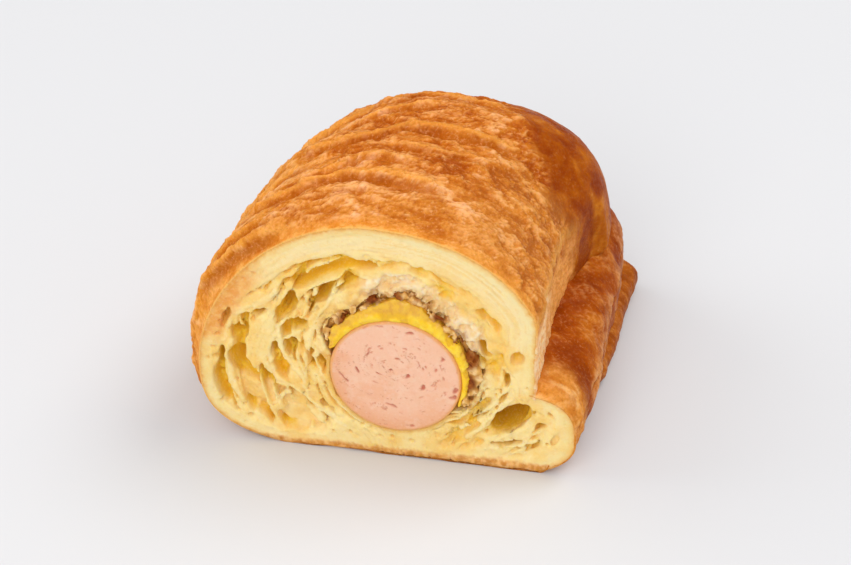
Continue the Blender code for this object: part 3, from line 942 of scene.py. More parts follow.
POCKETS = (
    Pocket(-26.0, 23.5, 2.0, 1.5, 62, 5.5, 0.2),
    Pocket(-28.3, 26.6, 2.5, 0.7, 72, 3.5, 0.3),
    Pocket(-29.3, 16.2, 4.8, 0.65, 88, 4.5, 0.25),
    Pocket(-27.9, 10.4, 2.4, 0.5, -60, 3.5, 0.3),
    Pocket(-25.6, 16.4, 4.1, 1.8, -62, 6.5, 0.3),
    Pocket(-17.3, 30.5, 3.9, 1.3, 62, 6.0, 0.4),
    Pocket(-22.4, 28.4, 1.9, 0.7, 30, 4.5, 0.4),
    Pocket(-11.4, 33.4, 3.4, 0.9, 50, 5.5, 0.4),
    Pocket(-15.8, 26.4, 1.9, 1.4, 10, 6.5, 0.3),
    Pocket(-16.6, 21.8, 2.2, 0.9, 84, 6.0, 0.4),
    Pocket(-19.8, 20.6, 2.4, 0.7, 84, 4.5, 0.4),
    Pocket(-21.4, 14.2, 1.8, 1.2, -45, 5.5, 0.4),
    Pocket(-15.1, 10.4, 3.2, 1.1, -40, 6.0, 0.4),
    Pocket(-7.0, 36.4, 2.6, 0.7, 30, 4.5, 0.5),
    Pocket(16.9, 25.4, 2.5, 0.95, -58, 4.5, 0.2),
    Pocket(22.6, 24.8, 1.6, 1.25, 60, 2.8, 0.15),
    Pocket(16.0, 20.9, 1.0, 0.9, 0, 3.5, 0.2),
    Pocket(20.7, 19.4, 1.7, 0.6, 82, 3.5, 0.3),
    Pocket(20.4, 16.0, 1.5, 0.5, 62, 3.0, 0.3),
    Pocket(21.5, 10.9, 4.6, 2.5, 47, 9.0, 0.15),
    Pocket(20.8, 5.4, 3.2, 0.6, 18, 4.5, 0.3),
    Pocket(16.4, 13.9, 2.8, 0.5, 50, 4.0, 0.4),
    Pocket(15.6, 10.2, 2.4, 0.5, 46, 4.0, 0.4),
    Pocket(26.9, 9.6, 1.5, 0.6, 40, 3.0, 0.3),
    Pocket(28.6, 12.6, 1.0, 0.45, -50, 2.5, 0.3),
)


@dataclass(frozen=True)
class Ledge:
    """Patch of the cut that lies level: middle, half sizes, lean, how far back, and how pale."""

    x: float
    z: float
    half_long: float
    half_short: float
    tilt: float
    back: float
    pale: float

    def share(self, x: Array, z: Array) -> Array:
        """1 on the patch, falling to 0 round it."""
        c, s = math.cos(math.radians(self.tilt)), math.sin(math.radians(self.tilt))
        dx, dz = x - self.x, z - self.z
        return smooth(1.18, 0.86, np.hypot((dx * c + dz * s) / self.half_long, (-dx * s + dz * c) / self.half_short))


LEDGES = (
    Ledge(-18.0, 7.6, 7.6, 3.3, -24, 2.3, 1.0),
    Ledge(-24.4, 10.6, 3.4, 2.2, -40, 1.6, 0.9),
    Ledge(-22.3, 21.9, 5.9, 2.4, 76, 0.1, 1.0),
    Ledge(-23.6, 30.4, 4.6, 1.6, 32, 0.2, 1.0),
    Ledge(-14.6, 29.6, 3.2, 1.0, 66, 0.7, 0.7),
    Ledge(-10.8, 28.8, 4.6, 1.0, 58, 0.4, 0.9),
    Ledge(26.2, 12.8, 4.4, 3.4, 70, 0.5, 0.8),
    Ledge(22.8, 24.9, 3.0, 2.5, 60, 0.0, 1.0),
)


@dataclass(frozen=True)
class Membrane:
    """Thin baked sheet seen edge-on in the cut: its line, half thickness and how far back it ends."""

    line: Keys
    half: float = 0.32
    back: float = 0.2

    def distance(self, x: Array, z: Array) -> Array:
        """Distance from the line in mm."""
        nearest = np.full(x.shape, 99.0)
        for (ax, az), (bx, bz) in zip(self.line[:-1], self.line[1:]):
            length = (bx - ax) ** 2 + (bz - az) ** 2
            t = np.clip(((x - ax) * (bx - ax) + (z - az) * (bz - az)) / length, 0.0, 1.0)
            nearest = np.minimum(nearest, np.hypot(x - ax - t * (bx - ax), z - az - t * (bz - az)))
        return nearest


MEMBRANES = (
    Membrane(((-15.5, 33.5), (-16.3, 30.5), (-17.9, 27.6), (-19.1, 26.2)), 0.45),
    Membrane(((-13.8, 33.6), (-13.4, 31.2), (-14.7, 28.7)), 0.3),
    Membrane(((-12.6, 34.2), (-12.1, 30.8), (-13.3, 28.4), (-14.4, 27.7)), 0.35, 0.5),
    Membrane(((-7.7, 36.4), (-9.7, 33.2), (-11.6, 29.9), (-13.2, 26.2), (-13.7, 23.2), (-14.3, 17.1)), 0.45),
    Membrane(((-4.9, 34.7), (-7.6, 30.5), (-8.9, 26.0), (-11.3, 22.3), (-12.4, 19.9), (-11.4, 16.0)), 0.5),
    Membrane(((-19.0, 25.8), (-18.6, 21.9), (-17.7, 19.2), (-15.8, 16.7), (-14.5, 14.4), (-14.1, 10.0)), 0.45),
    Membrane(((-17.8, 23.6), (-15.5, 24.9), (-14.8, 22.9)), 0.28, 0.6),
    Membrane(((-21.5, 17.1), (-19.3, 14.3), (-16.9, 12.6), (-14.3, 10.4), (-11.9, 8.7), (-7.9, 5.6)), 0.75, 0.0),
    Membrane(((-27.6, 22.0), (-28.4, 18.6), (-28.1, 15.7), (-27.5, 12.1), (-26.1, 8.7)), 0.5),
    Membrane(((-28.3, 30.0), (-26.5, 28.4), (-24.2, 29.6), (-21.3, 31.4), (-18.8, 33.4)), 0.6, 0.0),
    Membrane(((-27.1, 28.9), (-27.6, 25.6), (-29.0, 21.9)), 0.4),
    Membrane(((-20.3, 8.0), (-19.2, 10.2), (-17.7, 11.2)), 0.4, 1.0),
    Membrane(((-12.8, 16.4), (-11.5, 13.7), (-9.7, 11.2), (-7.5, 9.0), (-5.0, 7.3)), 0.4),
    Membrane(((-19.6, 25.0), (-20.7, 21.4), (-20.9, 17.4)), 0.35, 0.3),
    Membrane(((-16.0, 23.0), (-15.6, 18.9), (-14.6, 16.0)), 0.3, 0.3),
    Membrane(((11.4, 11.0), (13.5, 13.9), (16.2, 16.8), (18.2, 18.4)), 0.35),
    Membrane(((10.3, 8.6), (13.1, 10.8), (15.7, 13.9), (18.0, 16.8), (19.3, 18.5)), 0.35),
    Membrane(((12.2, 7.4), (15.3, 10.0), (17.9, 13.3), (20.4, 17.5), (21.6, 20.5)), 0.4),
    Membrane(((14.2, 5.7), (16.8, 8.7), (18.4, 11.1), (20.0, 13.7), (22.7, 16.0)), 0.4),
    Membrane(((17.2, 5.7), (20.6, 6.6), (23.0, 8.2), (25.2, 10.4)), 0.35, 0.4),
    Membrane(((17.2, 3.9), (20.7, 4.7), (24.2, 6.2), (26.3, 7.0)), 0.35),
)
BAND: Keys = ((-90, 5.6), (-60, 5.0), (-38, 3.2), (-20, 2.6), (0, 4.0), (25, 5.0), (45, 6.5), (70, 6.4), (92, 6.2),
              (112, 6.0), (130, 5.6), (150, 4.2), (168, 2.8), (190, 2.4), (212, 3.0), (235, 4.6), (246, 5.4))


@dataclass
class CutCrumb:
    """Layered, hollowed inside of the dough where the roll was cut."""

    finish: CrumbFinish
    place: FaceFrame
    pitch: float = 0.27
    depth: float = 10.0
    noise: Noise = field(default_factory=lambda: Noise(29))

    def _grid(self) -> tuple[Array, Array, Array]:
        xs = np.arange(-35.4, 35.4, self.pitch)
        zs = np.arange(-0.45, 51.6, self.pitch)
        near = np.arange(-0.9, 3.6, self.pitch)
        far = near[-1] + np.cumsum(np.linspace(self.pitch * 1.1, 0.85, 14))
        return xs, np.concatenate([near, far[far < self.depth + 1.0]]), zs

    @staticmethod
    def _outline() -> Array:
        """Points along the dough's outline at the cut."""
        rows = []
        for fold in Fold:
            angle = np.linspace(-math.pi, math.pi, 1100, endpoint=False)
            r = fold.radius(angle, np.zeros_like(angle))
            x, z = fold.centre[0] + r * np.cos(angle), np.maximum(fold.centre[1] + r * np.sin(angle), 0.0)
            others = [o.inside(x, np.zeros_like(x), z) for o in Fold if o is not fold]
            keep = np.max(others, 0) < 0.05
            rows.append(np.stack([x[keep], z[keep]], 1))
        return np.concatenate(rows)

    def _rim_distance(self, x: Array, z: Array) -> Array:
        """Distance from the outline in mm, for flat arrays."""
        outline = self._outline().astype(np.float32)
        out = np.empty(len(x), np.float32)
        for start in range(0, len(x), 4000):
            part = slice(start, start + 4000)
            d = np.hypot(x[part, None] - outline[:, 0], z[part, None] - outline[:, 1])
            out[part] = d.min(1)
        return out

    def build(self) -> bpy.types.Object:
        """Makes the crumb as the zero level of its field.

        Returns:
            The mesh object, in place.
        """
        xs, ys, zs = self._grid()
        gx, gz = np.meshgrid(xs, zs, indexing="ij")
        rim = self._rim_distance(gx.ravel(), gz.ravel()).reshape(gx.shape)
        values = self._field(xs, ys, zs, rim)
        points, faces = surface_net(values, xs, ys, zs)
        keep = points[:, 1] < self.depth - 0.15
        faces = faces[keep[faces].any(1)]
        points, faces = used_only(points, faces)
        colour = self._tint(points)
        made = mesh_object("crumb_cut", points, faces, self.place, colour)
        made.data.materials.append(self.finish.material())
        return made

    def _face_height(self, x: Array, z: Array, rim: Array) -> Array:
        """How far behind the cut plane the torn face lies, in mm."""
        n = self.noise
        broad = n.fbm(x / 5.0, z / 5.0, 0.3, 3) - 0.5
        fine = n.fbm(x / 1.1, z / 1.1, 4.3, 3, 0.6) - 0.5
        r, degrees = around(x, z, SAUSAGE_CENTRE)
        arc = np.radians(degrees) * r
        phase = rim / 0.95 + 0.9 * n.fbm(arc / 7.0, rim / 2.5, 9.1, 2)
        ridge = np.abs(2.0 * (phase - np.floor(phase)) - 1.0)
        lines = smooth(0.30, 0.0, ridge) * smooth(0.42, 0.62, n.fbm(arc / 5.0, rim / 1.2, 13.7, 2))
        inner = smooth(0.8, 1.8, rim)
        return 0.14 + inner * (0.08 + 0.55 * broad + 0.34 * fine + 0.28 * lines)

    def _recess(self, x: Array, z: Array, rim: Array) -> tuple[Array, Array]:
        """How far the open middle lies behind the cut in mm, and how pale it stays, from 0 to 1."""
        n = self.noise
        r, degrees = around(x, z, SAUSAGE_CENTRE)
        off = r - filling_outer(degrees)
        arc = np.radians(degrees) * 19.0
        inside_band = smooth(0.86, 1.16, rim / keyed(degrees, BAND) + 0.25 * (n.fbm(x / 2.4, z / 2.4, 21.0, 2) - 0.5))
        left = smooth(104, 116, degrees) * smooth(232, 218, degrees)
        right = smooth(-66, -54, degrees) * smooth(26, 12, degrees) * smooth(30.0, 24.0, x)
        steps = spread(n.fbm(arc / 6.5, off / 2.3, 23.0, 3, 0.5))
        recess = left * (0.3 + 2.9 * smooth(0.25, 0.8, steps)) + right * (0.3 + 1.5 * smooth(0.3, 0.8, steps))
        upper = smooth(6, 22, degrees) * smooth(112, 100, degrees)
        clump = self._clump(x, z, degrees, off)
        torn = spread(n.fbm(x / 1.9, z / 1.5, 71.0, 4, 0.66))
        layer = spread(n.fbm(arc / 4.5, off / 1.7, 77.0, 3))
        open_layer = 0.5 + 1.7 * smooth(0.25, 0.8, layer) + 0.5 * (torn - 0.5)
        fringe = smooth(0.96, 1.10, rim / keyed(degrees, BAND) + 0.35 * (n.fbm(x / 1.6, z / 1.6, 25.0, 3) - 0.5))
        recess = recess * inside_band + upper * fringe * mix(open_layer, 0.15 + 1.5 * torn ** 2, clump)
        recess = recess * smooth(0.2, 1.4, off + 1.2 * upper)
        near, _, pick = n.cells(x / 1.7 + 0.5 * torn, z / 1.5, 7.5 + 0.0 * x)
        pits = smooth(0.34, 0.16, near) * (pick > 0.45) * np.clip(1.0 - smooth(16, 30, degrees) * smooth(150, 132, degrees), 0, 1)
        recess = recess + 0.9 * pits * smooth(0.9, 1.6, rim) * smooth(0.3, 1.2, off)
        pale = np.zeros_like(recess)
        recess = recess * smooth(1.2, 4.2, z)
        wx = x + 1.5 * (n.fbm(x / 2.2, z / 2.2, 27.0, 3) - 0.5)
        wz = z + 1.5 * (n.fbm(x / 2.2, z / 2.2, 33.0, 3) - 0.5)
        for ledge in LEDGES:
            share = ledge.share(wx, wz)
            recess = mix(recess, ledge.back, share)
            pale = np.maximum(pale, ledge.pale * share)
        return recess, pale

    def _clump(self, x: Array, z: Array, degrees: Array, off: Array) -> Array:
        """Share of the moist torn crumb that lies against the filling's upper side."""
        bend = 2.6 * (self.noise.fbm(x / 2.2, z / 2.2, 91.0, 3) - 0.5)
        return smooth(4.2, 2.6, off + bend) * smooth(16, 32, degrees) * smooth(114, 102, degrees)

    def _walls(self, x: Array, z: Array, degrees: Array, off: Array) -> tuple[Array, Array]:
        """Distance inside the thin sheets in mm, and how far back each ends."""
        n = self.noise
        wx = x + 1.3 * (n.fbm(x / 1.7, z / 1.7, 41.0, 3) - 0.5)
        wz = z + 1.3 * (n.fbm(x / 1.7, z / 1.7, 47.0, 3) - 0.5)
        depth, back = np.full(x.shape, -9.0), np.zeros(x.shape)
        for m in MEMBRANES:
            d = m.half * (0.6 + 0.8 * n.value(x / 2.0, z / 2.0, 51.0)) - m.distance(wx, wz)
            back = np.where(d > depth, m.back, back)
            depth = np.maximum(depth, d)
        arc = np.radians(degrees) * 19.0
        wisp = 0.16 - 2.6 * np.abs(n.fbm(arc / 8.0, off / 2.0, 57.0, 2) - 0.5)
        wisp = wisp - 1.2 * smooth(0.52, 0.40, n.fbm(arc / 4.0, off / 3.0, 61.0, 2))
        zone = smooth(102, 116, degrees) * smooth(238, 222, degrees) + smooth(-70, -56, degrees) * smooth(30, 12, degrees)
        wisp = wisp - 1.5 * (1.0 - np.clip(zone, 0, 1))
        back = np.where(wisp > depth, 0.5, back)
        return np.maximum(depth, wisp), back + 0.9 * (n.fbm(x / 2.6, z / 2.6, 67.0, 2) - 0.45)

    def _field(self, xs: Array, ys: Array, zs: Array, rim2: Array) -> Array:
        """Solid dough is positive; close to the surface the value is a distance in mm."""
        n = self.noise
        x, y, z = (v.astype(np.float32) for v in np.meshgrid(xs, ys, zs, indexing="ij"))
        x2, z2 = x[:, 0, :], z[:, 0, :]
        r2, deg2 = around(x2, z2, SAUSAGE_CENTRE)
        hole2 = filling_outer(deg2)
        face2 = self._face_height(x2, z2, rim2)
        recess2, _ = self._recess(x2, z2, rim2)
        ragged = (n.fbm(x / 1.3, y / 1.3, z / 1.3, 3, 0.62) - 0.5).astype(np.float32)
        solid = y - (face2 + recess2)[:, None, :] + 0.9 * ragged * smooth(0.2, 1.0, recess2)[:, None, :]
        solid = np.minimum(solid, self._foam(x, y, z, rim2, r2, deg2, ragged))
        walls2, back2 = self._walls(x2, z2, deg2, r2 - hole2)
        walls = walls2[:, None, :] + 0.07 * np.clip(y, 0.0, 4.0) + 0.45 * ragged
        walls = np.minimum(walls, y - np.maximum(face2 + back2, 0.12)[:, None, :])
        band2 = smooth(0.8, 1.0, rim2 / keyed(deg2, BAND))
        walls = np.where(band2[:, None, :] > 0.0, walls, -9.0)
        solid = np.maximum(solid, walls)
        solid = np.minimum(solid, self._crescent(x, y, z, ragged))
        for p in POCKETS:
            reach = p.half_long + 2.5
            xi = slice(*np.searchsorted(xs, (p.x - reach, p.x + reach)))
            zi = slice(*np.searchsorted(zs, (p.z - reach, p.z + reach)))
            px, py, pz = x[xi, :, zi], y[xi, :, zi], z[xi, :, zi]
            c, s = math.cos(math.radians(p.tilt)), math.sin(math.radians(p.tilt))
            wx = px - p.x + 1.1 * (n.fbm(px / 2.6, pz / 2.6, py / 4.0 + p.x, 2) - 0.5)
            wz = pz - p.z + 1.1 * (n.fbm(px / 2.6 + 31.0, pz / 2.6, py / 4.0 + p.x, 2) - 0.5)
            u, v = (wx * c + wz * s) / p.half_long, (-wx * s + wz * c) / p.half_short
            k = np.sqrt(u * u + v * v + (py / p.depth) ** 2)
            away = (k - 1.0) * p.half_short + p.ragged * ragged[xi, :, zi] * 1.4
            solid[xi, :, zi] = np.minimum(solid[xi, :, zi], away)
        solid = np.minimum(solid, self._sheets(x, y, z, rim2, r2, deg2, hole2))
        notch = np.exp(-((x - 26.0) / 3.0) ** 2 - ((z - 18.0) / 4.0) ** 2)
        drawn = (1.6 - 1.1 * notch) * smooth(0.5, 5.0, z) * smooth(0.3, 1.7, y)
        solid = np.minimum(solid, inside_dough(x, np.maximum(y, 0.0), z) - 0.10 - drawn)
        solid = np.minimum(solid, z - 0.12 - 0.3 * smooth(0.5, 2.0, y))
        solid = np.minimum(solid, self.depth - y)
        taper = smooth(168.0, 150.0, deg2) * smooth(-38.0, -22.0, deg2)
        bare2 = sausage_radius(np.radians(deg2))
        tight2 = bare2 + taper * (hole2 - bare2)
        sparse = np.exp(-((deg2 - 50.0) / 8.0) ** 2) + np.exp(-((deg2 - 94.0) / 5.0) ** 2) + np.exp(-((deg2 - 116.0) / 5.0) ** 2)
        tight2 = tight2 - 0.7 * sparse
        solid = np.minimum(solid, (r2 - tight2)[:, None, :] + 0.6 * ragged + 0.12)
        return solid.astype(np.float32)

    def _crescent(self, x: Array, y: Array, z: Array, ragged: Array) -> Array:
        """Long gap left under the top band where the sheets parted in the oven."""
        r, degrees = around(x, z, WRAP_CENTRE)
        middle = keyed(degrees, ((88, 24.7), (94, 24.6), (106, 23.7), (119, 22.7), (127, 22.8)))
        half = keyed(degrees, ((83, -0.6), (90, 0.9), (98, 1.7), (112, 1.7), (121, 0.9), (129, -0.6)))
        half = half * 1.1 * np.sqrt(np.clip(1.0 - (y / 4.4) ** 2, 0.0, 1.0))
        lower = smooth(0.0, -1.0, r - middle) * 0.55 * np.clip(y, 0.0, 4.0)
        return np.abs(r - middle + 0.25 * ragged) - half + lower + 0.25 * ragged + np.where(y > 4.3, 2.0, 0.0)

    def _foam(self, x: Array, y: Array, z: Array, rim2: Array, r2: Array, deg2: Array, ragged: Array) -> Array:
        """Small thin-walled cells, open in the foot and scattered on the left and right."""
        n = self.noise
        warp = 1.0 * (n.fbm(x / 3.0, y / 3.0, z / 3.0 + 9.0, 2) - 0.5)
        arc = np.radians(deg2)[:, None, :] * 20.0
        size = 1.7
        first, second, pick = n.cells((arc + 2.0 * warp) / (size * 1.8), (r2[:, None, :] + warp) / size, y / (size * 1.4) + 0.37)
        wall = (second - first) * size
        foot = np.exp(-(((x2d(x) - 26.0) / 5.5) ** 2 + ((x2d(z) - 9.0) / 6.0) ** 2))
        left = np.exp(-(((x2d(x) + 19.0) / 8.0) ** 2 + ((x2d(z) - 23.0) / 10.0) ** 2))
        right = np.exp(-(((x2d(x) - 18.5) / 4.5) ** 2 + ((x2d(z) - 19.0) / 9.0) ** 2))
        openness = np.clip(0.8 * foot + 0.38 * left + 0.5 * right, 0.0, 1.0)
        openness = openness * smooth(0.55, 0.95, rim2 / keyed(deg2, BAND)) * smooth(0.6, 2.2, r2 - filling_outer(deg2))
        thick = 0.42 + 3.0 * smooth(0.55, 0.05, openness)[:, None, :] + 2.5 * (pick > 0.62)
        return np.clip(thick - wall, -2.0, 2.0) * 0.6 + 0.2 * ragged

    def _sheets(self, x: Array, y: Array, z: Array, rim2: Array, r2: Array, deg2: Array, hole2: Array) -> Array:
        """Close concentric sheets against the sausage, parted by fine slits."""
        n = self.noise
        arc = (np.radians(deg2) * 17.0)[:, None, :]
        off = (r2 - hole2)[:, None, :]
        pitch = 1.9
        phase = off / pitch + 1.4 * n.fbm(arc / 7.0, off / 4.0, y / 7.0, 2) + 0.15
        slit = np.abs(2.0 * (phase - np.floor(phase)) - 1.0) * pitch * 0.5
        left = smooth(122, 138, deg2) * smooth(246, 226, deg2)
        low = smooth(4, -8, deg2) * smooth(-66, -48, deg2)
        here = np.clip(left + low, 0, 1) * smooth(5.5, 3.5, r2 - hole2) * smooth(1.5, 2.5, rim2)
        gap = 0.34 * smooth(0.44, 0.70, n.fbm(arc / 3.6, off / 1.1, y / 5.0, 2)) * here[:, None, :]
        gap = gap * smooth(2.2, 0.5, y)
        return np.where(gap > 0.02, slit - gap, 1.0)

    def _tint(self, points: Array) -> Array:
        """Linear colour of the crumb at each point."""
        n, f = self.noise, self.finish
        x, y, z = points.T
        r, degrees = around(x, z, SAUSAGE_CENTRE)
        rim = self._rim_distance(x.astype(np.float32), z.astype(np.float32))
        off = r - filling_outer(degrees)
        broad = n.fbm(x / 5.0, y / 5.0, z / 5.0, 3)
        fine = n.fbm(x / 1.0, y / 1.0, z / 1.0, 3, 0.6)
        face = self._face_height(x, z, rim)
        recess, calm = self._recess(x, z, rim)
        depth = np.clip(y - face - recess * calm, 0.0, None)
        colour = mix(linear(f.pale), linear(f.band), smooth(0.35, 0.7, broad))
        band = smooth(1.1, 0.6, rim / keyed(degrees, BAND))
        band = band * (0.25 + 0.75 * smooth(14, 30, degrees) * smooth(150, 128, degrees))
        colour = mix(colour, linear("#ffe4ac"), 0.85 * band)
        arc = np.radians(degrees) * 26.0
        lamina = spread(n.fbm(arc / 8.0, rim / 0.42 + 0.4 * broad, 19.5, 2))
        colour = mix(colour, linear("#f8cc74"), 0.45 * smooth(0.50, 0.95, lamina) * smooth(0.4, 1.4, rim) * band)
        # Surfaces further behind the cut turn golden and then amber: partly the buttery inside of the layers, partly
        # painted shade by depth. The deep hollow in the foot gets more painted shade.
        colour = mix(colour, linear(f.golden), 0.92 * smooth(0.35, 2.6, depth + 1.4 * (fine - 0.5)))
        colour = mix(colour, linear(f.amber), 0.8 * smooth(3.0, 8.0, depth))
        hollow_shade = smooth(0.9, 3.2, depth + 0.8 * (fine - 0.5)) * smooth(14.0, 18.0, x) * smooth(13.5, 11.0, z)
        colour = mix(colour, linear("#cc9614"), 0.60 * hollow_shade)
        walls, _ = self._walls(x, z, degrees, off)
        # Paler edges of the thin sheets at the cut: partly their own pale cut crumb, partly a painted highlight.
        colour = mix(colour, linear("#ffeab4"), 0.35 * smooth(0.0, 0.25, walls) * smooth(1.8, 0.7, y) * (1.0 - band))
        moist = self._clump(x, z, degrees, off) * smooth(2.6, 1.0, depth + 0.8 * (fine - 0.5))
        colour = mix(colour, tones(spread(fine), "#f4cc90", f.moist, "#fff0d6"), 0.85 * moist)
        soaked = smooth(2.6, 0.2, off) * smooth(48, 62, degrees) * smooth(112, 100, degrees)
        colour = mix(colour, linear(f.soaked), 0.6 * soaked * smooth(0.42, 0.6, fine))
        stained = smooth(1.8, 0.1, off) * smooth(-28, -18, degrees) * smooth(160, 150, degrees)
        colour = mix(colour, linear(f.stained), 0.6 * stained * smooth(0.40, 0.62, fine))
        skin_edge = smooth(0.9, 0.05, off) * (smooth(160, 168, degrees) + smooth(-30, -38, degrees))
        colour = mix(colour, linear("#e0a040"), 0.7 * np.clip(skin_edge, 0, 1))
        thick = keyed(degrees, ((-90, 1.9), (-50, 1.6), (-30, 0.8), (20, 0.7), (90, 0.8), (130, 0.8), (143, 1.2), (152, 2.4), (166, 2.4), (174, 0.8),
                                (200, 0.6), (246, 1.4)))
        colour = mix(colour, linear("#fdc878"), 0.9 * smooth(1.9, 0.7, (rim + 0.7 * (fine - 0.5)) / thick))
        colour = mix(colour, linear(f.rim), smooth(0.85, 0.25, (rim + 0.7 * (fine - 0.5)) / thick))
        shoulder = smooth(5.0, 2.8, rim + 2.0 * (broad - 0.5)) * smooth(136, 150, degrees) * smooth(177, 167, degrees)
        colour = mix(colour, tones(spread(fine), "#ee9c48", "#f8b868"), 0.85 * shoulder * smooth(1.6, 0.6, y))
        foot_edge = smooth(1.9, 0.9, z + 1.0 * (broad - 0.5) + 0.9 * (fine - 0.5) - 0.012 * np.clip(x, -20, 30))
        return mix(colour, tones(spread(fine), "#c87a28", "#e09644", "#fabc74"), 0.9 * foot_edge)


def x2d(array: Array) -> Array:
    """First sheet along the middle axis of a grid array."""
    return array[:, 0, :]


# --- sausage, mustard and onion --------------------------------------------------------------
@dataclass
class SausageBody:
    """Whole sausage: cut face with specks, bevelled skin and baked tip."""

    finish: SausageFinish
    place: FaceFrame
    noise: Noise = field(default_factory=lambda: Noise(47))

    def build(self) -> bpy.types.Object:
        """Makes the sausage as one grid from the middle of the cut to the tip.

        Returns:
            The mesh object, in place.
        """
        angle_row = np.linspace(-math.pi, math.pi, 380, endpoint=False)
        inner = np.linspace(0.004, 0.94, 66)
        bevel = np.radians(np.linspace(0, 90, 9))
        soft = 0.6 / SAUSAGE_HALF_WIDTH
        share = np.concatenate([inner, 1.0 - soft + soft * np.sin(bevel)])
        y_cut = np.concatenate([np.zeros(len(inner)), 0.5 * (1.0 - np.cos(bevel))])
        straight = np.concatenate([np.arange(0.9, 4.0, 0.4), np.arange(4.5, SAUSAGE_LENGTH - SAUSAGE_END_ROUND, 1.5)])
        bend = np.radians(np.linspace(0, 88, 26))
        y_rest = np.concatenate([straight, SAUSAGE_LENGTH - SAUSAGE_END_ROUND * (1.0 - np.sin(bend))])
        share = np.concatenate([share, np.ones(len(y_rest))])
        y_all = np.concatenate([y_cut, y_rest])
        angle, y = np.meshgrid(angle_row, y_all)
        r = sausage_radius(angle) * share[:, None] * end_round(y, SAUSAGE_LENGTH, SAUSAGE_END_ROUND)
        x = SAUSAGE_CENTRE[0] + sausage_drift(y) + r * np.cos(angle)
        z = SAUSAGE_CENTRE[1] + r * np.sin(angle)
        face = (share < 0.999)[:, None] * np.ones_like(y)
        pits, colour = self._skin(x, y, z, angle, share[:, None] * np.ones_like(y), face)
        y = y + face * pits * smooth(1.0, 0.93, share)[:, None]
        points = np.stack([x, y, z], -1).reshape(-1, 3)
        faces = grid_faces(len(y_all), len(angle_row), True)
        made = mesh_object("sausage_body", points, faces, self.place, colour.reshape(-1, 3))
        made.data.materials.append(self.finish.material())
        return made

    def _skin(self, x: Array, y: Array, z: Array, angle: Array, share: Array, face: Array) -> tuple[Array, Array]:
        """Depth of the cut's pits in mm, and linear colour."""
        n, f = self.noise, self.finish
        r, degrees = around(x, z, (SAUSAGE_CENTRE[0] - 1.5, SAUSAGE_CENTRE[1] + 1.5))
        arc = np.radians(degrees) * (2.0 + 0.8 * r)
        wa = arc + 1.0 * (n.fbm(x / 1.5, z / 1.5, 1.5, 2) - 0.5)
        wr = r + 1.0 * (n.fbm(x / 1.5, z / 1.5, 8.5, 2) - 0.5)
        small, _, pick = n.cells(wa / 1.9, wr / 0.8, 0.5 + 0.0 * x)
        tiny, _, pick_tiny = n.cells(wa / 0.9, wr / 0.55, 4.5 + 0.0 * x)
        large, _, pick_large = n.cells(wa / 4.2, wr / 3.0, 9.5 + 0.0 * x)
        specks = smooth(0.30, 0.12, small) * smooth(0.80, 0.88, pick)
        dots = smooth(0.36, 0.18, tiny) * smooth(0.72, 0.95, pick_tiny)
        spots = smooth(0.21, 0.11, large * (0.8 + 0.5 * n.value(x / 0.6, z / 0.6, 2.0))) * (pick_large > 0.40)
        swirl = n.fbm(arc / 2.6, r / 1.0, 2.2, 3)
        lines = smooth(0.030, 0.008, np.abs(swirl - 0.5)) * smooth(0.56, 0.66, n.fbm(arc / 1.8, r / 1.2, 6.6, 2))
        broad = n.fbm(x / 3.5, z / 3.5, 3.3, 3)
        pits = 0.10 * (n.fbm(x / 1.2, z / 1.2, 5.5, 3) - 0.5) + 0.20 * specks + 0.28 * spots + 0.16 * lines
        pits = pits - 0.12 * (1.0 - share ** 2)
        colour = mix(linear(f.meat), linear(f.meat_warm), smooth(0.45, 0.7, broad) * 0.45)
        warm_low = smooth(0.55, 1.0, share) * smooth(0.3, -0.9, np.sin(angle + 0.5))
        colour = mix(colour, linear("#e89c62"), 0.6 * warm_low)
        colour = mix(colour, linear("#fbdcc6"), 0.2 * smooth(0.55, 0.7, n.fbm(x / 1.3, z / 1.3, 12.5, 3)))
        colour = mix(colour, linear("#de8468"), 0.45 * np.clip(dots, 0, 1))
        colour = mix(colour, linear("#c8502e"), 0.62 * specks)
        colour = mix(colour, linear("#bc4424"), 0.75 * spots)
        colour = mix(colour, linear("#cc6440"), 0.5 * lines)
        colour = mix(colour, linear("#eca862"), smooth(0.93, 0.985, share))
        side = 1.0 - face
        tone = mix(linear(f.skin), linear("#cc8440"), smooth(0.4, 0.6, n.fbm(x / 4, y / 4, z / 4, 3)))
        colour = mix(colour, tone, side)
        colour = mix(colour, mix(linear(f.baked), linear("#a85c1c"), broad), smooth(46.0, 50.5, y))
        return pits, colour


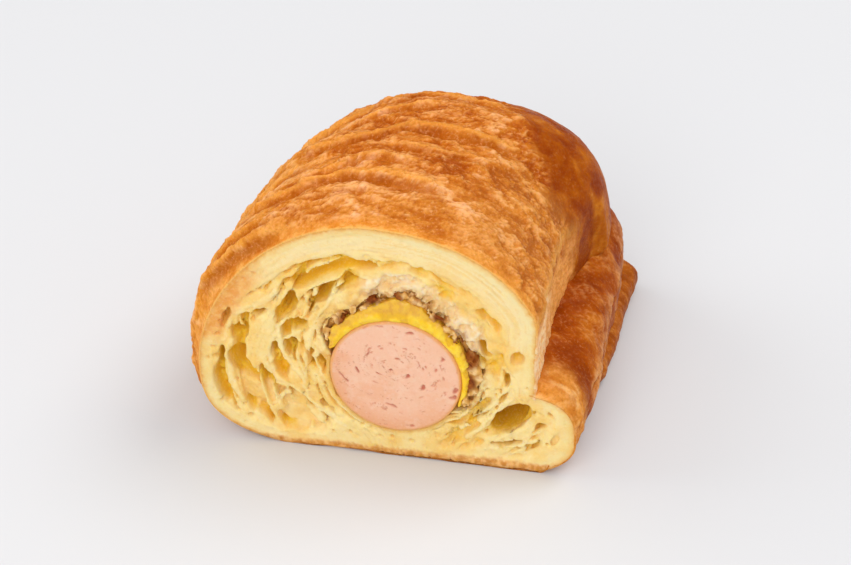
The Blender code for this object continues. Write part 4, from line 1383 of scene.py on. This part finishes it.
@dataclass
class Layer:
    """Bent slab lying on the sausage between two angles and running along the roll."""

    name: str
    first: float
    last: float
    inner: Callable[[Array], Array]
    outer: Callable[[Array], Array]
    place: FaceFrame
    noise: Noise
    columns: int = 300

    def build(self, skin: Callable[[Array, Array, Array, Array, Array], tuple[Array, Array, Array]]) -> bpy.types.Object:
        """Makes the slab.

        Args:
            skin: gives the outward growth and forward growth in mm and the linear colour from
                (x, y, z, degrees, share across the thickness).

        Returns:
            The mesh object, in place.
        """
        across = np.linspace(0.0, 1.0, 14)
        along = np.concatenate([np.arange(0.25, 4.0, 0.25), np.linspace(4.5, FILLING_LENGTH, 16)])
        share = np.concatenate([across, np.ones(len(along)), across[::-1][1:-1], np.zeros(len(along))])
        y_loop = np.concatenate([np.zeros(len(across)), along, np.full(len(across) - 2, FILLING_LENGTH), along[::-1]])
        degrees_row = np.linspace(self.first, self.last, self.columns)
        degrees, share2 = np.meshgrid(degrees_row, share, indexing="ij")
        y = np.broadcast_to(y_loop, share2.shape).copy()
        close = np.clip(np.minimum(degrees - self.first, self.last - degrees) / 7.0, 0.0, 1.0)
        close = np.sqrt(1.0 - (1.0 - close) ** 2)
        inner, outer = self.inner(degrees), self.outer(degrees)
        middle = inner + 0.5 * (outer - inner)
        r = middle + (share2 - 0.5) * (outer - inner) * close
        a = np.radians(degrees)
        x = SAUSAGE_CENTRE[0] + sausage_drift(y) + r * np.cos(a)
        z = SAUSAGE_CENTRE[1] + r * np.sin(a)
        grow, forward, colour = skin(x, y, z, degrees, share2)
        front = smooth(1.2, 0.0, y)
        r = r + grow * close * share2
        x = SAUSAGE_CENTRE[0] + sausage_drift(y) + r * np.cos(a)
        z = SAUSAGE_CENTRE[1] + r * np.sin(a)
        crown = 4.0 * share2 * (1.0 - share2)
        y = y - front * (forward * (0.35 + 0.65 * crown) * close - 0.25 * (1.0 - crown) * (y < 0.2))
        points = np.stack([x, y, z], -1).reshape(-1, 3)
        faces = grid_faces(len(degrees_row), len(share), True)
        ends = []
        for row in (0, len(degrees_row) - 1):
            ring = row * len(share) + np.arange(len(share))
            half = len(share) // 2
            ends += [[ring[i], ring[i + 1], ring[-i - 2], ring[-i - 1]] for i in range(half - 1)]
        faces = np.concatenate([faces, np.array(ends)])
        return mesh_object(self.name, points, faces, self.place, colour.reshape(-1, 3))


@dataclass
class MustardLayer:
    """Lumpy crescent of mustard, soaked and dull on its outer side near the top."""

    finish: MustardFinish
    place: FaceFrame
    noise: Noise = field(default_factory=lambda: Noise(61))

    def build(self) -> bpy.types.Object:
        layer = Layer("mustard_layer", -24, 157, lambda d: sausage_radius(np.radians(d)) + 0.02,
                      lambda d: keyed(d, MUSTARD_OUTER), self.place, self.noise, 420)
        made = layer.build(self._skin)
        made.data.materials.append(self.finish.material())
        return made

    def _skin(self, x: Array, y: Array, z: Array, degrees: Array, share: Array) -> tuple[Array, Array, Array]:
        n, f = self.noise, self.finish
        lumps = n.fbm(x / 1.6, y / 2.5, z / 1.6, 3)
        r = np.hypot(x - SAUSAGE_CENTRE[0], z - SAUSAGE_CENTRE[1]) - sausage_radius(np.radians(degrees))
        bright_edge = keyed(degrees, ((-20, 0.5), (20, 1.2), (50, 1.9), (70, 2.1), (90, 1.9), (120, 1.2), (150, 0.7)))
        dull = smooth(-0.15, 0.7, r - bright_edge + 1.2 * (n.fbm(x / 1.2, z / 1.2, 2.2, 3) - 0.5))
        # Raised lumps get a painted highlight and the low parts between them painted shade.
        colour = mix(linear(f.bright), linear("#ffdc48"), smooth(0.5, 0.7, lumps) * 0.6)
        colour = mix(colour, linear("#dd9f17"), smooth(0.45, 0.3, lumps) * 0.5)
        dusty = mix(linear(f.soaked), linear("#dc9a40"), smooth(0.50, 0.70, n.fbm(x / 0.9, z / 0.9, 27.1, 3, 0.65)))
        colour = mix(colour, dusty, dull * 0.7)
        grow = 1.0 * (lumps - 0.5)
        forward = 0.35 + 0.9 * (lumps - 0.45) - 0.25 * dull
        return grow, forward, colour


ONION_BITS = ((-2.9, 35.2, 2.0), (5.9, 36.6, 1.3), (9.3, 32.3, 1.1), (12.4, 27.0, 1.0), (14.1, 23.8, 1.9), (14.0, 18.6, 1.6),
              (-6.6, 29.0, 1.6), (2.0, 35.6, 0.9))


@dataclass
class OnionLayer:
    """Crumbly roast onion bits between the mustard and the dough."""

    finish: OnionFinish
    place: FaceFrame
    pitch: float = 0.22
    noise: Noise = field(default_factory=lambda: Noise(83))

    def build(self) -> bpy.types.Object:
        """Makes the crumbs at the cut as a field, and a plain layer behind them.

        Returns:
            The mesh object, in place.
        """
        xs = np.arange(-14.6, 19.6, self.pitch)
        zs = np.arange(11.5, 38.5, self.pitch)
        ys = np.concatenate([np.arange(-1.1, 1.6, self.pitch), np.arange(1.7, 3.4, 0.4)])
        x, y, z = (v.astype(np.float32) for v in np.meshgrid(xs, ys, zs, indexing="ij"))
        n = self.noise
        r, degrees = around(x, z, SAUSAGE_CENTRE)
        inner = keyed(degrees, MUSTARD_OUTER) + 0.05
        thick = keyed(degrees, ONION_THICK)
        middle, half = inner + 0.55 * thick, 0.5 * thick + 0.25
        crumbs = n.fbm(x / 1.15, y / 1.15, z / 1.15, 3, 0.66)
        amount = keyed(degrees, ((-22, -0.06), (-12, 0.07), (20, 0.08), (34, -0.03), (44, -0.12), (58, -0.05),
                                 (66, 0.0), (76, 0.05), (86, 0.0), (94, -0.06), (104, 0.04), (116, -0.04), (128, 0.06),
                                 (142, 0.05), (152, -0.1)))
        spot = np.zeros(x.shape, np.float32)
        for bx, bz, size in ONION_BITS:
            spot = np.maximum(spot, smooth(1.8, 0.6, np.hypot(x - bx, z - bz) / size))
        body = (crumbs - 0.56 + amount + 0.07 * spot) * 5.0
        shell = half - np.abs(r - middle) + 0.5 * (n.fbm(x / 0.9, y / 0.9, z / 0.9 + 5.0, 2) - 0.4)
        front = y - 0.10 + 1.2 * (n.fbm(x / 2.0, z / 2.0, 1.7, 2) - 0.42)
        ends = np.minimum(degrees + 22.0, 152.0 - degrees) * 0.25
        field_values = np.minimum(np.minimum(body, shell), np.minimum(front, ends))
        field_values = np.minimum(field_values, 3.0 - y)
        points, faces = surface_net(field_values.astype(np.float32), xs, ys, zs)
        points, faces = used_only(points, faces)
        tone = n.fbm(points[:, 0] / 1.0, points[:, 1] / 1.0, points[:, 2] / 1.0, 3)
        f = self.finish
        near = np.zeros(len(points))
        for bx, bz, size in ONION_BITS:
            near = np.maximum(near, smooth(1.5, 0.7, np.hypot(points[:, 0] - bx, points[:, 2] - bz) / size))
        fine = n.fbm(points[:, 0] / 0.7, points[:, 1] / 0.7, points[:, 2] / 0.7 + 9.0, 2)
        colour = tones(spread(fine), "#d49a48", "#ecba6c", "#f8d498")
        colour = mix(colour, linear(f.brown), 0.4 * smooth(0.58, 0.68, tone))
        colour = mix(colour, tones(spread(fine), f.dark, "#8c4412", f.brown), near)
        count = len(points)
        back = self._back()
        points = np.concatenate([points, back[0]])
        faces = np.concatenate([faces, back[1] + count])
        colour = np.concatenate([colour, np.broadcast_to(linear("#d09a50"), (len(back[0]), 3))])
        made = mesh_object("onion_crumbs", points, faces, self.place, colour)
        made.data.materials.append(f.material())
        return made

    def _back(self) -> tuple[Array, Array]:
        """Plain layer that carries the crumbs on along the roll."""
        degrees_row = np.linspace(-18, 148, 90)
        y_loop = np.concatenate([np.linspace(1.4, FILLING_LENGTH, 12)] * 2)
        side = np.concatenate([np.zeros(12), np.ones(12)])
        y_loop[12:] = y_loop[12:][::-1]
        degrees, share = np.meshgrid(degrees_row, side, indexing="ij")
        y = np.broadcast_to(y_loop, share.shape)
        r = keyed(degrees, MUSTARD_OUTER) + 0.12 + share * (keyed(degrees, ONION_THICK) - 0.1)
        x = SAUSAGE_CENTRE[0] + sausage_drift(y) + r * np.cos(np.radians(degrees))
        z = SAUSAGE_CENTRE[1] + r * np.sin(np.radians(degrees))
        return np.stack([x, y, z], -1).reshape(-1, 3), grid_faces(len(degrees_row), len(side), True)


# --- the room -----------------------------------------------------------------------------------
@dataclass
class Stage:
    """Pale floor, soft lights and the camera."""

    place: FaceFrame
    enlarge: float = 1.65

    def build(self) -> None:
        self._floor()
        self._world()
        self._lights()
        self._camera()

    def _floor(self) -> None:
        mesh = bpy.data.meshes.new("pale_floor")
        mesh.from_pydata([(-4, -4, 0), (4, -4, 0), (4, 4, 0), (-4, 4, 0)], [], [(0, 1, 2, 3)])
        floor = bpy.data.objects.new("pale_floor", mesh)
        bpy.context.scene.collection.objects.link(floor)
        b = NodeBuilder("matt_pale_board")
        floor.data.materials.append(b.surface(rgba("#d8d8d9"), 0.9, None, 0.0, (1.0, 1.0, 1.0), 0.1))

    def _world(self) -> None:
        world = bpy.data.worlds.new("soft_room")
        world.use_nodes = True
        back = world.node_tree.nodes["Background"]
        back.inputs["Color"].default_value = rgba("#f4f4f6")
        back.inputs["Strength"].default_value = 0.66
        bpy.context.scene.world = world

    def _lights(self) -> None:
        centre = Vector((0.0, 0.0, 0.022))
        for name, place, size, watts, colour in (
                ("window_key", (0.42, 0.22, 0.80), 0.55, 3.4, "#ffffff"),
                ("front_fill", (-0.10, -0.75, 0.65), 0.8, 4.0, "#ffffff"),
                ("left_fill", (-0.70, 0.05, 0.50), 0.6, 1.9, "#ffffff")):
            data = bpy.data.lights.new(name, "AREA")
            data.shape, data.size = "DISK", size
            data.energy = watts
            data.color = tuple(float(c) for c in linear(colour))
            lamp = bpy.data.objects.new(name, data)
            lamp.location = place
            lamp.rotation_euler = (centre - Vector(place)).to_track_quat("-Z", "Y").to_euler()
            bpy.context.scene.collection.objects.link(lamp)

    def _camera(self) -> None:
        """Camera where the photographer stood, turned to the middle of the roll."""
        data = bpy.data.cameras.new("camera")
        data.sensor_width = 36.0
        data.lens = 63.45 * self.enlarge
        data.clip_start, data.clip_end = 0.01, 20.0
        camera = bpy.data.objects.new("camera", data)
        stand = Vector(self.place.place(np.array([65.2, -319.6, 292.7])))
        aim = Vector(self.place.place(np.array([2.5, 24.0, 20.5])))
        camera.location = stand
        camera.rotation_euler = (aim - stand).to_track_quat("-Z", "Y").to_euler()
        bpy.context.scene.collection.objects.link(camera)
        bpy.context.scene.camera = camera


def corners(box: tuple[Vector, Vector]) -> list[list[float]]:
    return [[float(v) for v in corner] for corner in box]


def main() -> None:
    """Dresses the frame."""
    bpy.context.scene.view_settings.view_transform = "Standard"
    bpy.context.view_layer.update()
    place = FaceFrame.from_sausage()
    Stage(place).build()
    crust = CrustFinish()
    dough = [CrustSheet(fold, crust, place).build() for fold in Fold]
    dough.append(CutCrumb(CrumbFinish(), place).build())
    sausage = SausageBody(SausageFinish(), place).build()
    mustard = MustardLayer(MustardFinish(), place).build()
    onion = OnionLayer(OnionFinish(), place).build()
    for piece, node, slot in [(d, "pastry", "puff_pastry") for d in dough] + [
            (sausage, "sausage", "sausage"), (mustard, "mustard", "mustard"), (onion, "roast_onion", "roast_onion")]:
        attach(piece, "root")
        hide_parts(node)


if __name__ == "__main__":
    main()
